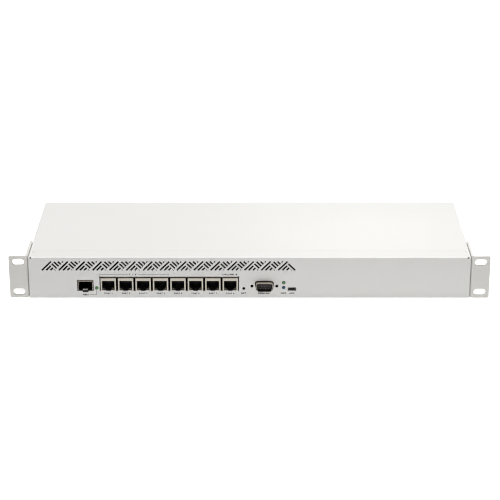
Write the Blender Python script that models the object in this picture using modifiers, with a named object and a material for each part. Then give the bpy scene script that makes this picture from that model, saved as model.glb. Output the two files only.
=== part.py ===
"""A one-unit rack-mount firewall appliance, as an assembly of separate solids.

Axes: +X is to the right as seen from the front, +Y runs to the rear, +Z is up.
Origin: on the surface that the case stands on, below the centre of the bounding box.
Sizes in this file are in millimetres, and the helper functions turn them into metres.
"""

import math

import bmesh
import bpy
from mathutils import Vector

MM = 0.001

# ---- Driving dimensions ----
CASE_WIDTH = 444.0
CASE_DEPTH = 166.0
CASE_HEIGHT = 44.0
SHEET = 1.0  # steel sheet of the casing
BEND = 1.3  # outer radius of its folds
GAP = 0.3  # running gap between pieces that touch
RACK_WIDTH = 482.6  # over both rack ears, the 19 inch rack standard

SERIAL_REACH = 4.7  # how far the serial port's shell stands out of the front
SCREW_REACH = 2.2  # how far a screw head stands out of the rear
FRONT = SERIAL_REACH - (SERIAL_REACH + CASE_DEPTH + SCREW_REACH) / 2
REAR = FRONT + CASE_DEPTH
HALF_WIDTH = CASE_WIDTH / 2

# ---- Casing ----
PANEL_RETURN = 12.0  # depth of the front panel's side and bottom returns
PANEL_TOP_RETURN = 18.5
PANEL_TOP_HALF = 218.0  # half width of the top return behind the side returns
COVER_FOOT = 0.4  # height of the cover's lower edge
COVER_LIP = 3.0  # rear lip of the cover
TAB_SIZE = (14.0, 11.0)  # rear tabs that take the cover screws
TAB_X = (-185.0, 20.0, 120.0)
TRAY_HALF = HALF_WIDTH - SHEET - 0.4
TRAY_REAR = REAR - SHEET - GAP
TRAY_TOP = CASE_HEIGHT - SHEET - GAP
TRAY_SIDE = 11.0  # height of the tray's low side flange
CORNER_RELIEF = 0.9  # radius of the relief hole through the front panel's top bend, near each end
CORNER_RELIEF_X = 219.4
TAB_BORE_Z = CASE_HEIGHT - TAB_SIZE[1] + 5.0  # height of the cover screws

# ---- Rack ears ----
EAR_SHEET = 2.0
EAR_BEND = 2.6
EAR_FOOT = {"left": 1.0, "right": 0.5}  # the left ear sits higher, within its holes' play
EAR_HEIGHT = 44.45
EAR_DEPTH = 44.0
EAR_CORNER = 1.6
EAR_SLOT = (12.2, 6.5)
EAR_SLOT_X = 231.8
EAR_SLOT_SPACING = 31.75
BORE = 1.8  # radius of a screw hole
EAR_SCREW_AT = ((8.0, 9.0), (8.0, 35.0), (34.0, 22.0))  # depth behind the front, height

# ---- Vents ----
VENT_SLOT = 1.8  # width of a slot
VENT_LEFT = -208.2
VENT_BOTTOM = 30.3
VENT_HEIGHT = 9.3
VENT_PERIOD = 16.93
VENT_PERIODS = 15
VENT_MARGIN = 3.2  # across, from a slot to the end of one that meets it

# ---- Board and ports: heights above the base, positions across the front ----
BOARD_THICKNESS = 1.6
BOARD_TOP = 7.6
PORT_BOTTOM = BOARD_TOP + GAP
PORT_PITCH = 17.54
PORT_COUNT = 8
PORT_BANK = (-150.9, -10.6, 7.85, 23.4)  # cut-out: left, right, bottom, top
PORT_BANK_RELIEF = 0.9  # radius of the cut-out's upper corners, which bulge past its edges
PORT_WIDTH = 15.7
PORT_TOP = 22.0
PORT_DEPTH = 21.0
PORT_REACH = 0.3
PORT_MOUTH = (12.7, 8.8, 18.8)  # width, bottom, top
PORT_CAVITY = (11.9, 10.5, 18.4)
PORT_LATCH = 4.8  # width of the channel for the plug's latch
SFP_X = -165.2
SFP_CUT = (16.6, 19.8, 6.0, 1.4)  # cut-out: width, top, then the width and depth of its notch
SFP_BOX = (14.4, 10.2)  # width and height of the cage
SFP_COLLAR = (16.2, 11.5, 2.4)  # the ring of spring fingers at its mouth, with its depth
SFP_MOUTH = (13.3, 0.9, 9.4)  # width, then bottom and top above the cage's foot
SFP_WALL = 0.5
SFP_DEPTH = 48.0
SFP_LED = (-153.8, 11.1)
RESET_AT = (-5.7, 10.5)
SERIAL_AT = (15.0, 13.1)
SERIAL_SPACING = 25.0  # between its two screws
SERIAL_CUT = (20.4, 11.4, 3.0)  # D-shaped cut-out: width, height, corner radius
SERIAL_OUTER = (17.7, 9.2, 2.3)
SERIAL_INNER = (16.9, 8.4, 1.9)
SERIAL_FILL = (16.3, 7.8, 1.6)
SERIAL_FLANGE = (30.8, 12.4, 0.8)  # width, height, thickness
SERIAL_PINS = ((5, 1.42), (4, -1.42))  # each row's pins and its height above the middle
SERIAL_PIN_PITCH = 2.77
LED_GREEN = (34.4, 16.8)
LED_BLUE = (34.4, 11.5)
LED_RADIUS = 1.7
USB_AT = (42.9, 9.9)
USB_SIZE = (7.6, 2.9)
USB_CUT = (8.4, 3.6)

# ---- Rear ----
FAN_SIZE = 40.0
FAN_DEPTH = 20.0
FAN_X = (-120.0, -60.0)
FAN_Z = SHEET + GAP + FAN_SIZE / 2
FAN_BORE = 18.9
FAN_HUB = 11.0
FAN_BLADES = 7
FAN_BLADE = (10.4, 1.2, 8.0)  # chord, thickness, length
FAN_BLADE_PITCH = 52.0  # degrees
FAN_MOTOR = 2.6  # thickness of the motor's base at the back of the frame
REAR_SLOT = 2.4
FAN_VENT = (17.6, 4.2)  # radius of the slots' circle, pitch
REAR_VENTS = ((-20.0, 12.0), (112.0, 152.0))  # left and right end of each row
REAR_VENT_HEIGHTS = (12.0, 28.0)
REAR_VENT_PITCH = 5.0
REAR_VENT_RISE = 9.0
INLET_AT = (180.0, 21.0)
INLET_BODY = (27.0, 19.6, 26.0)  # width, height, depth behind its mouth
INLET_RIM = (31.0, 23.2, 2.2)  # width, height, thickness
INLET_MOUTH = TRAY_REAR + GAP + INLET_RIM[2]
INLET_RECESS = (11.8, 8.0, 17.0)  # half width, half height, depth
INLET_PINS = (("live", -7.0, -2.0), ("neutral", 7.0, -2.0), ("earth", 0.0, 2.0))  # name, across, up
INLET_PIN = (2.0, 4.0)
GROUND_AT = (95.0, 12.0)

# ---- Inside: places are across, and back from the front ----
MAIN_BOARD = ((-196.0, 2.5), (58.0, 122.0))  # two corners
POWER_BOARD = ((74.0, 22.0), (212.0, 134.0))
MAIN_POSTS = ((-188.0, -68.0, 50.0), (38.0, 116.0))
POWER_POSTS = ((80.0, 206.0), (28.0, 128.0))
POST_RADIUS = 2.6
PROCESSOR_AT = (-95.0, 80.0)
PROCESSOR_SIZE = (36.0, 36.0, 2.6)
SINK_HALF = 36.0
SINK_TOP = 37.0
SINK_BASE = 4.0
SINK_FINS = 15
SINK_FIN = 1.4
MEMORY_AT = (-28.25, 82.0)
MEMORY_SIZE = (3.5, 60.0, 25.7)
TRANSFORMER_AT = (120.0, 78.0)
TRANSFORMER_CORE = (30.0, 28.0, 18.0)
TRANSFORMER_LIFT = 4.0  # of the core above the winding's foot
TRANSFORMER_WINDING = (20.0, 38.0, 26.0)
CAPACITOR_AT = (172.0, 70.0)
CAPACITOR_SIZE = (9.0, 28.0)  # radius, height
POWER_SINK_AT = (149.25, 72.0)
POWER_SINK_SIZE = (2.5, 56.0, 27.0)
POWER_SINK_FLANGE = (11.0, 3.0)  # its width and thickness along the top
LEAD_RADIUS = 2.0
LEAD_LIFT = 2.4  # of a lead's end above the board


# ---------------------------------------------------------------- materials
def make_material(name, colour, roughness, metallic=0.0, glow=0.0):
    """A Principled material. The colour is linear RGB."""
    material = bpy.data.materials.new(name)
    material.use_nodes = True
    shader = material.node_tree.nodes["Principled BSDF"]
    shader.inputs["Base Color"].default_value = (*colour, 1.0)
    shader.inputs["Roughness"].default_value = roughness
    shader.inputs["Metallic"].default_value = metallic
    if glow:
        shader.inputs["Emission Color"].default_value = (*colour, 1.0)
        shader.inputs["Emission Strength"].default_value = glow
    material.diffuse_color = (*colour, 1.0)
    return material


# ---------------------------------------------------------------- building tools
def start_scene():
    """Removes what the scene holds, and returns the collections for parts and for cutters."""
    for old in list(bpy.data.objects):
        bpy.data.objects.remove(old)
    found = []
    for name in ("firewall_appliance", "cutters"):
        collection = bpy.data.collections.new(name)
        bpy.context.scene.collection.children.link(collection)
        found.append(collection)
    return found


def add_object(name, mesh, material=None):
    mesh.shade_smooth()
    mesh.set_sharp_from_angle(angle=math.radians(50))
    obj = bpy.data.objects.new(name, mesh)
    PARTS.objects.link(obj)
    if material and not mesh.materials:
        mesh.materials.append(material)
    return obj


def add_bmesh(name, bm, material=None):
    mesh = bpy.data.meshes.new(name)
    bm.to_mesh(mesh)
    bm.free()
    return add_object(name, mesh, material)


def block(name, low, high, material=None):
    """A box between two corners."""
    low, high = Vector(low) * MM, Vector(high) * MM
    bm = bmesh.new()
    bmesh.ops.create_cube(bm, size=1.0)
    bmesh.ops.scale(bm, vec=high - low, verts=bm.verts)
    obj = add_bmesh(name, bm, material)
    obj.location = (low + high) / 2
    return obj


def rod(name, start, end, radius, sides, material=None):
    """A cylinder from one point to another."""
    start, end = Vector(start) * MM, Vector(end) * MM
    bm = bmesh.new()
    size = {"radius1": radius * MM, "radius2": radius * MM, "depth": (end - start).length}
    bmesh.ops.create_cone(bm, cap_ends=True, segments=sides, **size)
    obj = add_bmesh(name, bm, material)
    obj.location = (start + end) / 2
    obj.rotation_euler = (end - start).to_track_quat("Z", "Y").to_euler()
    return obj


def turned(name, profile, sides, material=None):
    """A shape turned about its own Z axis. The profile is (radius, height) from top to bottom."""
    bm = bmesh.new()
    points = [bm.verts.new((radius * MM, 0.0, height * MM)) for radius, height in profile]
    for first, second in zip(points, points[1:]):
        bm.edges.new((first, second))
    obj = add_bmesh(name, bm, material)
    screw = obj.modifiers.new("turn", "SCREW")
    screw.steps = screw.render_steps = sides
    screw.use_merge_vertices = True
    screw.merge_threshold = 0.00001
    return meshed(obj, material)


PRISM_TURN = {
    "X": (math.radians(90), 0.0, math.radians(90)),  # outline (y, z)
    "Y": (math.radians(90), 0.0, 0.0),  # outline (x, z)
    "Z": (0.0, 0.0, 0.0),  # outline (x, y)
}


def prism(name, outlines, axis, low, high, material=None):
    """A flat outline, with the outlines inside it as holes, made thick along an axis from low to high."""
    curve = bpy.data.curves.new(name, "CURVE")
    curve.dimensions = "2D"
    curve.fill_mode = "BOTH"
    curve.extrude = (high - low) / 2 * MM
    for outline in outlines:
        spline = curve.splines.new("POLY")
        spline.points.add(len(outline) - 1)
        for point, (across, up) in zip(spline.points, outline):
            point.co = (across * MM, up * MM, 0.0, 1.0)
        spline.use_cyclic_u = True
    flat = bpy.data.objects.new(name, curve)
    PARTS.objects.link(flat)
    flat.location["XYZ".index(axis)] = (low + high) / 2 * MM
    flat.rotation_euler = PRISM_TURN[axis]
    return meshed(flat, material)


def meshed(obj, material=None):
    """The object with its modifiers, or its curve, made into a plain welded mesh."""
    bpy.context.view_layer.update()
    graph = bpy.context.evaluated_depsgraph_get()
    mesh = bpy.data.meshes.new_from_object(obj.evaluated_get(graph))
    bm = bmesh.new()
    bm.from_mesh(mesh)
    bmesh.ops.remove_doubles(bm, verts=bm.verts, dist=0.000001)
    bm.to_mesh(mesh)
    bm.free()
    name, place = obj.name, obj.matrix_world.copy()
    bpy.data.objects.remove(obj)
    made = add_object(name, mesh, material)
    made.matrix_world = place
    return made


def shared_mesh(obj, material):
    """The mesh of an object that only serves to make it, measured from the world's origin."""
    made = meshed(obj, material)
    mesh = made.data
    mesh.transform(made.matrix_world)
    bpy.data.objects.remove(made)
    return mesh


def as_helper(obj):
    """Makes an object a cutter or a piece of a union, which isn't a part itself."""
    obj.name = "tool_" + obj.name
    obj.hide_render = True
    obj.display_type = "WIRE"
    PARTS.objects.unlink(obj)
    CUTTERS.objects.link(obj)
    return obj


def combine(target, operation, tools):
    for tool in tools:
        boolean = target.modifiers.new(tool.name, "BOOLEAN")
        boolean.operation = operation
        boolean.solver = "EXACT"
        boolean.object = as_helper(tool)
    return target


def cut(target, *tools):
    return combine(target, "DIFFERENCE", tools)


def unite(target, *tools):
    return combine(target, "UNION", tools)


def round_edges(obj, width, segments=2):
    bevel = obj.modifiers.new("rounded", "BEVEL")
    bevel.width = width * MM
    bevel.segments = segments
    bevel.limit_method = "ANGLE"
    return obj


SIDE_NAMES = {
    "-X": (-1, 0, 0),
    "+X": (1, 0, 0),
    "-Y": (0, -1, 0),
    "+Y": (0, 1, 0),
    "-Z": (0, 0, -1),
    "+Z": (0, 0, 1),
}


def folded(name, low, high, sides, thickness, bend, material, corner=0.0, steps=3):
    """Folded sheet: the named sides of a box, joined by bends of so many steps, with the sheet inside it.

    corner rounds the free corners of the first side."""
    low, high = Vector(low) * MM, Vector(high) * MM
    bm = bmesh.new()
    bmesh.ops.create_cube(bm, size=1.0)
    bmesh.ops.scale(bm, vec=high - low, verts=bm.verts)
    bm.normal_update()
    kept = [Vector(SIDE_NAMES[side]) for side in sides]
    spare = [face for face in bm.faces if all(face.normal.dot(side) < 0.9 for side in kept)]
    bmesh.ops.delete(bm, geom=spare, context="FACES")
    if corner:
        first = next(face for face in bm.faces if face.normal.dot(kept[0]) > 0.9)
        free = [vert for vert in first.verts if len(vert.link_faces) == 1]
        bmesh.ops.bevel(bm, geom=free, offset=corner * MM, segments=3, profile=0.5, affect="VERTICES")
    folds = [edge for edge in bm.edges if len(edge.link_faces) == 2]
    bmesh.ops.bevel(bm, geom=folds, offset=bend * MM, segments=steps, profile=0.5, affect="EDGES")
    obj = add_bmesh(name, bm, material)
    obj.location = (low + high) / 2
    solid = obj.modifiers.new("sheet", "SOLIDIFY")
    solid.thickness = thickness * MM
    solid.offset = -1.0
    solid.use_even_offset = True
    return obj


def tube(name, points, radius, material):
    """A round lead through the points, as a smooth run of short straight steps."""
    curve = bpy.data.curves.new(name, "CURVE")
    curve.dimensions = "3D"
    curve.bevel_depth = radius * MM
    curve.bevel_resolution = 2
    curve.use_fill_caps = True
    path = smooth_path(points)
    spline = curve.splines.new("POLY")
    spline.points.add(len(path) - 1)
    for point, place in zip(spline.points, path):
        point.co = (*(place * MM), 1.0)
    obj = bpy.data.objects.new(name, curve)
    PARTS.objects.link(obj)
    curve.materials.append(material)
    return obj


def smooth_path(points, steps=3):
    """Points on a Catmull-Rom curve through the given ones."""
    points = [Vector(point) for point in points]
    points = [2 * points[0] - points[1], *points, 2 * points[-1] - points[-2]]
    path = []
    for before, start, end, after in zip(points, points[1:], points[2:], points[3:]):
        for step in range(steps):
            t = step / steps
            slope = end - before
            square = 2 * before - 5 * start + 4 * end - after
            cube = 3 * start - before - 3 * end + after
            path.append(0.5 * (2 * start + slope * t + square * t**2 + cube * t**3))
    return [*path, points[-2]]


# ---------------------------------------------------------------- outlines
def rectangle(left, right, bottom, top):
    return [(left, bottom), (right, bottom), (right, top), (left, top)]


def circle(centre, radius, sides, turn=0.0):
    angles = [turn + 2 * math.pi * step / sides for step in range(sides)]
    return [(centre[0] + radius * math.cos(a), centre[1] + radius * math.sin(a)) for a in angles]


def stadium(start, end, width, end_steps):
    """A slot with round ends, about the line from start to end."""
    heading = math.atan2(end[1] - start[1], end[0] - start[0])
    outline = []
    for centre, facing in ((end, heading), (start, heading + math.pi)):
        for step in range(end_steps + 1):
            angle = facing - math.pi / 2 + math.pi * step / end_steps
            outline.append((centre[0] + width / 2 * math.cos(angle), centre[1] + width / 2 * math.sin(angle)))
    return outline


def rounded(outline, radius, steps=3):
    """A convex outline with an arc of the radius at each corner."""
    points = [Vector(point) for point in outline]
    made = []
    for before, corner, after in zip(points[-1:] + points[:-1], points, points[1:] + points[:1]):
        inward, outward = (before - corner).normalized(), (after - corner).normalized()
        half = inward.angle(outward) / 2
        centre = corner + (inward + outward).normalized() * radius / math.sin(half)
        first = corner + inward * radius / math.tan(half) - centre
        last = corner + outward * radius / math.tan(half) - centre
        sweep = first.angle_signed(last)
        for step in range(steps + 1):
            angle = math.atan2(first.y, first.x) - sweep * step / steps
            made.append((centre.x + radius * math.cos(angle), centre.y + radius * math.sin(angle)))
    return made


def centred(centre, width, height):
    x, z = centre
    return rectangle(x - width / 2, x + width / 2, z - height / 2, z + height / 2)


def d_shape(centre, width, height, radius):
    """The outline of a D-shaped port: wider at the top, with sides that lean in by ten degrees."""
    lean = height * math.tan(math.radians(10))
    x, z = centre
    corners = [
        (x - width / 2 + lean, z - height / 2),
        (x + width / 2 - lean, z - height / 2),
        (x + width / 2, z + height / 2),
        (x - width / 2, z + height / 2),
    ]
    return rounded(corners, radius, 2)


def herringbone():
    """The front vent's slots, each as the two ends of its centre line, across and up.

    In each period four rising slots lean right and four falling ones lean left, all at 45 degrees."""
    pitch = VENT_PERIOD / 4
    rising_limit = VENT_PERIOD - VENT_MARGIN
    falling_limit = VENT_PERIOD - VENT_MARGIN - VENT_SLOT / 2
    slots = []
    for period in range(VENT_PERIODS):
        left = VENT_LEFT + period * VENT_PERIOD
        last = period == VENT_PERIODS - 1
        for index in range(4):
            foot = index * pitch
            rise = (rising_limit - foot) / 2 if index else VENT_HEIGHT
            slots.append(((left + foot, 0.0), (left + foot + rise, rise)))
            across = VENT_PERIOD + index * pitch
            high = min(VENT_HEIGHT, (across - VENT_MARGIN) / 2)
            low = 0.0 if last else (across - falling_limit) / 2
            if not (last and index):
                slots.append(((left + across - high, high), (left + across - low, low)))
    return [[(x, VENT_BOTTOM + z) for x, z in slot] for slot in slots]


def slanted_row(left, right):
    """A row of the rear panel's slots, which lean right."""
    bottom, top = REAR_VENT_HEIGHTS
    count = int((right - left - REAR_VENT_RISE) / REAR_VENT_PITCH) + 1
    feet = [left + REAR_VENT_PITCH * step for step in range(count)]
    return [((foot, bottom), (foot + REAR_VENT_RISE, top)) for foot in feet]


def slanted_disc(centre, radius, pitch):
    """Slots at 45 degrees that fill a circle."""
    count = int(radius / pitch)
    slots = []
    for index in range(-count, count + 1):
        away = index * pitch
        half = math.sqrt(radius**2 - away**2)
        middle = (centre[0] + away * math.sqrt(0.5), centre[1] - away * math.sqrt(0.5))
        reach = half * math.sqrt(0.5)
        slots.append(((middle[0] - reach, middle[1] - reach), (middle[0] + reach, middle[1] + reach)))
    return slots


# ---------------------------------------------------------------- casing
def make_front_panel():
    """A shallow folded pan: the front face, its bends and its returns."""
    panel = folded(
        "front_panel",
        (-HALF_WIDTH, FRONT, 0.0),
        (HALF_WIDTH, FRONT + PANEL_TOP_RETURN, CASE_HEIGHT),
        ("-Y", "+Z", "-Z", "-X", "+X"),
        SHEET,
        BEND,
        PAINT,
    )
    behind = (FRONT + PANEL_RETURN, FRONT + 2 * PANEL_TOP_RETURN)
    outside = HALF_WIDTH + 20
    short_returns = block("short_returns", (-outside, behind[0], -5), (outside, behind[1], TRAY_TOP))
    trims = []
    for side in (-1, 1):
        left, right = sorted((side * PANEL_TOP_HALF, side * outside))
        trims.append(block("trim", (left, behind[0], CASE_HEIGHT / 2), (right, behind[1], 2 * CASE_HEIGHT)))
    through = (FRONT - 3, FRONT + 4)
    vents = [stadium(start, end, VENT_SLOT, 1) for start, end in herringbone()]
    vent_cutter = prism("vents", vents, "Y", *through)
    port_cutter = prism("ports", port_outlines(), "Y", *through)
    return cut(panel, short_returns, *trims, *panel_reliefs(), vent_cutter, port_cutter, *ear_screw_bores())


def panel_reliefs():
    """Cutters for the slanting holes near the ends of the top bend, and for the port cut-out's corners."""
    reliefs = []
    near, far = FRONT - 3, FRONT + 4
    for side in (-1, 1):
        x = side * CORNER_RELIEF_X
        start, end = (x, FRONT - 2.0, CASE_HEIGHT + 2.0), (x, FRONT + 3.5, CASE_HEIGHT - 3.5)
        reliefs.append(rod("relief", start, end, CORNER_RELIEF, 8))
    inset = PORT_BANK_RELIEF / 2
    left, right, _, top = PORT_BANK
    height = top - inset
    for x in (left + inset, right - inset):
        reliefs.append(rod("relief", (x, near, height), (x, far, height), PORT_BANK_RELIEF, 8))
    return reliefs


def port_outlines():
    """Every opening for a port, light or button in the front face."""
    width, top, notch_width, notch = SFP_CUT
    half, notch_half, foot = width / 2, notch_width / 2, PORT_BANK[2]
    sfp = [
        (SFP_X - half, foot),
        (SFP_X - notch_half, foot),
        (SFP_X - notch_half, foot - notch),
        (SFP_X + notch_half, foot - notch),
        (SFP_X + notch_half, foot),
        (SFP_X + half, foot),
        (SFP_X + half, top),
        (SFP_X - half, top),
    ]
    return [
        rectangle(*PORT_BANK),
        sfp,
        circle(RESET_AT, 1.5, 16),
        d_shape(SERIAL_AT, *SERIAL_CUT),
        *[circle(screw, 1.6, 12) for screw in serial_screws()],
        *[circle(light, LED_RADIUS + 0.15, 12) for light in (SFP_LED, LED_GREEN, LED_BLUE)],
        rounded(centred(USB_AT, *USB_CUT), 0.5, 2),
    ]


def serial_screws():
    x, z = SERIAL_AT
    return [(x + side * SERIAL_SPACING / 2, z) for side in (-1, 1)]


def ear_screw_bores():
    """Cutters for the rack ear screws, through everything that they pass on both sides."""
    bores = []
    for side in (-1, 1):
        inside, outside = side * (HALF_WIDTH - 8), side * (HALF_WIDTH + 8)
        for depth, height in EAR_SCREW_AT:
            at = (FRONT + depth, height)
            bores.append(rod("bore", (inside, *at), (outside, *at), BORE, 8))
    return bores


def make_top_cover():
    """The top and both sides in one sheet, with a rear lip and tabs for its screws."""
    cover = folded(
        "top_cover",
        (-HALF_WIDTH, FRONT + PANEL_RETURN + GAP, COVER_FOOT),
        (HALF_WIDTH, REAR, CASE_HEIGHT),
        ("+Z", "-X", "+X", "+Y"),
        SHEET,
        BEND,
        PAINT,
    )
    notch_half = PANEL_TOP_HALF + GAP
    notch_end = FRONT + PANEL_TOP_RETURN + GAP
    notch = block("notch", (-notch_half, FRONT, TRAY_TOP - 1), (notch_half, notch_end, 2 * CASE_HEIGHT))
    near, far = REAR - 8, REAR + 5
    tab_half = TAB_SIZE[0] / 2
    tab_foot = CASE_HEIGHT - TAB_SIZE[1]
    lip_foot = CASE_HEIGHT - COVER_LIP - SHEET
    inner = HALF_WIDTH - COVER_LIP
    edges = [-inner, *[x + side * tab_half for x in TAB_X for side in (-1, 1)], inner]
    openings = list(zip(edges[::2], edges[1::2]))
    windows = [block("window", (left, near, -5), (right, far, lip_foot)) for left, right in openings]
    beside = tab_half + 1
    below_tabs = [block("below", (x - beside, near, -5), (x + beside, far, tab_foot)) for x in TAB_X]
    tab_bores = [rod("bore", (x, near, TAB_BORE_Z), (x, far, TAB_BORE_Z), BORE, 8) for x in TAB_X]
    return cut(cover, notch, *windows, *below_tabs, *tab_bores, *ear_screw_bores())


def make_base_tray():
    """The floor, the low side flanges and the rear panel, with the board posts on the floor."""
    tray = folded(
        "base_tray",
        (-TRAY_HALF, FRONT + PANEL_RETURN + GAP, 0.0),
        (TRAY_HALF, TRAY_REAR, TRAY_TOP),
        ("-Z", "-X", "+X", "+Y"),
        SHEET,
        BEND,
        PAINT,
    )
    post_top = BOARD_TOP - BOARD_THICKNESS - GAP
    posts = [rod("post", (x, y, SHEET / 2), (x, y, post_top), POST_RADIUS, 8) for x, y in board_posts()]
    low_sides = []
    for side in (-1, 1):
        left, right = sorted((side * (TRAY_HALF - 3), side * (TRAY_HALF + 5)))
        low_sides.append(block("low_side", (left, FRONT + 50, TRAY_SIDE), (right, REAR - 16, 60)))
    fan_slots = [slot for x in FAN_X for slot in slanted_disc((x, FAN_Z), *FAN_VENT)]
    row_slots = [slot for row in REAR_VENTS for slot in slanted_row(*row)]
    slots = [stadium(*slot, REAR_SLOT, 1) for slot in fan_slots + row_slots]
    inlet = centred(INLET_AT, INLET_BODY[0] + 0.8, INLET_BODY[1] + 0.8)
    bores = [circle((x, TAB_BORE_Z), BORE, 8) for x in TAB_X] + [circle(GROUND_AT, 2.3, 10)]
    rear_cutter = prism("rear_openings", [*slots, inlet, *bores], "Y", TRAY_REAR - 4, REAR + 4)
    return cut(unite(tray, *posts), *low_sides, rear_cutter, *ear_screw_bores())


def board_posts():
    """Places of the posts under both boards."""
    return [(x, FRONT + y) for across, back in (MAIN_POSTS, POWER_POSTS) for x in across for y in back]


def make_ear(side_name, side):
    """An angle bracket: a slotted flange in front and a plate along the case's side."""
    inner, outer = HALF_WIDTH + GAP, RACK_WIDTH / 2
    left, right = sorted((side * inner, side * outer))
    foot = EAR_FOOT[side_name]
    ear = folded(
        f"rack_ear_{side_name}",
        (left, FRONT, foot),
        (right, FRONT + EAR_DEPTH, foot + EAR_HEIGHT),
        ("-Y", "-X" if side > 0 else "+X"),
        EAR_SHEET,
        EAR_BEND,
        PAINT,
        corner=EAR_CORNER,
    )
    middle = foot + EAR_HEIGHT / 2
    half_run = (EAR_SLOT[0] - EAR_SLOT[1]) / 2
    slots = []
    for height in (middle - EAR_SLOT_SPACING / 2, middle + EAR_SLOT_SPACING / 2):
        start, end = (side * EAR_SLOT_X - half_run, height), (side * EAR_SLOT_X + half_run, height)
        slots.append(stadium(start, end, EAR_SLOT[1], 6))
    slot_cutter = prism("ear_slots", slots, "Y", FRONT - 5, FRONT + 8)
    return cut(ear, slot_cutter, *ear_screw_bores())


# ---------------------------------------------------------------- fasteners
def screw_mesh():
    """A pan-head screw that points down its own -Z, with a slot in its head."""
    head, shank, height, length = 2.9, 1.45, 1.9, 8.0
    crown = [(0, height), (0.6 * head, height), (head, 0.4 * height), (head, 0)]
    profile = [*crown, (shank, 0), (shank, -length), (0, -length)]
    screw = turned("screw_master", profile, 10, STEEL)
    slot = block("slot", (-0.5 * head, -0.35, 0.4 * height), (0.5 * head, 0.35, 2 * height))
    return shared_mesh(cut(screw, slot), STEEL)


def place_screw(name, mesh, seat, facing):
    """A screw with its head on the seat point, and the head's top facing the given way."""
    screw = add_object(name, mesh)
    screw.location = Vector(seat) * MM
    screw.rotation_euler = Vector(facing).to_track_quat("Z", "Y").to_euler()


def make_screws():
    mesh = screw_mesh()
    plate = HALF_WIDTH + GAP + EAR_SHEET + GAP
    for side, side_name in ((-1, "left"), (1, "right")):
        for number, (depth, height) in enumerate(EAR_SCREW_AT, 1):
            seat = (side * plate, FRONT + depth, height)
            place_screw(f"ear_screw_{side_name}_{number}", mesh, seat, (side, 0, 0))
    for number, x in enumerate(TAB_X, 1):
        place_screw(f"cover_screw_{number}", mesh, (x, REAR + GAP, TAB_BORE_Z), (0, 1, 0))
    place_screw("ground_screw", mesh, (GROUND_AT[0], TRAY_REAR + GAP, GROUND_AT[1]), (0, 1, 0))


# ---------------------------------------------------------------- network ports
def port_shield_mesh():
    """The metal shell of a jack, open below, with a mouth for the plug and its latch."""
    half, height = PORT_WIDTH / 2, PORT_TOP - PORT_BOTTOM
    sides = ("-Y", "+Z", "-X", "+X", "+Y")
    shell = folded("shield_master", (-half, 0, 0), (half, PORT_DEPTH, height), sides, 0.35, 0.5, TIN, steps=1)
    width, bottom, top = PORT_MOUTH
    mouth = block("mouth", (-width / 2, -2, bottom - PORT_BOTTOM), (width / 2, 2, top - PORT_BOTTOM))
    latch = block("latch", (-PORT_LATCH / 2, -2, -2), (PORT_LATCH / 2, 2, 4))
    return shared_mesh(cut(shell, mouth, latch), TIN)


def port_insert_mesh():
    """The black body inside a jack, with the plug's cavity and the latch channel below it."""
    half = PORT_WIDTH / 2 - 0.7
    low, high = 0.2, PORT_TOP - PORT_BOTTOM - 0.7
    body = block("insert_master", (-half, 0.8, low), (half, PORT_DEPTH - 0.8, high), BLACK)
    width, bottom, top = PORT_CAVITY
    cavity = block("cavity", (-width / 2, -2, bottom - PORT_BOTTOM), (width / 2, 14.0, top - PORT_BOTTOM))
    channel = block("channel", (-PORT_LATCH / 2, -2, low + 0.5), (PORT_LATCH / 2, 12.0, 4))
    return shared_mesh(cut(body, cavity, channel), BLACK)


def make_network_ports():
    shield, insert = port_shield_mesh(), port_insert_mesh()
    middle = (PORT_BANK[0] + PORT_BANK[1]) / 2
    for index in range(PORT_COUNT):
        x = middle + (index - (PORT_COUNT - 1) / 2) * PORT_PITCH
        place = Vector((x, FRONT - PORT_REACH, PORT_BOTTOM)) * MM
        add_object(f"port_shield_{index + 1}", shield).location = place
        add_object(f"port_insert_{index + 1}", insert).location = place


# ---------------------------------------------------------------- other ports
def make_fibre_port():
    """The cage that takes a fibre module, the connector at its far end, and its light."""
    half, floor = SFP_BOX[0] / 2, PORT_BOTTOM
    cage = folded(
        "fibre_cage",
        (SFP_X - half, FRONT + 0.5, floor),
        (SFP_X + half, FRONT + SFP_DEPTH, floor + SFP_BOX[1]),
        ("-Z", "+Z", "-X", "+X", "+Y"),
        SFP_WALL,
        0.6,
        TIN,
        steps=1,
    )
    width, height, depth = SFP_COLLAR
    ring = rectangle(SFP_X - width / 2, SFP_X + width / 2, floor, floor + height)
    mouth_half, mouth_low, mouth_high = SFP_MOUTH[0] / 2, floor + SFP_MOUTH[1], floor + SFP_MOUTH[2]
    mouth = rectangle(SFP_X - mouth_half, SFP_X + mouth_half, mouth_low, mouth_high)
    collar = prism("collar", [ring, mouth], "Y", FRONT - PORT_REACH, FRONT - PORT_REACH + depth)
    unite(cage, collar)
    window_end = FRONT + SFP_DEPTH - 4
    window = block("window", (SFP_X - 6, window_end - 12, 0), (SFP_X + 6, window_end, floor + 3))
    tab_half = SFP_CUT[2] / 2
    tab = block("tab", (SFP_X - tab_half, FRONT - 3, 0), (SFP_X + tab_half, FRONT + 6, floor + 0.7))
    cut(cage, window, tab)
    connector_front = window_end - 10
    low, high = (SFP_X - 5.4, connector_front, floor), (SFP_X + 5.4, connector_front + 8, floor + 5.2)
    body = block("fibre_connector", low, high, BLACK)
    slot_low = (SFP_X - 4.6, connector_front - 2, floor + 1.8)
    slot_high = (SFP_X + 4.6, connector_front + 6, floor + 3.2)
    cut(body, block("mouth", slot_low, slot_high))
    make_light("fibre_light", SFP_LED, LIGHT_GREEN)


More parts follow.
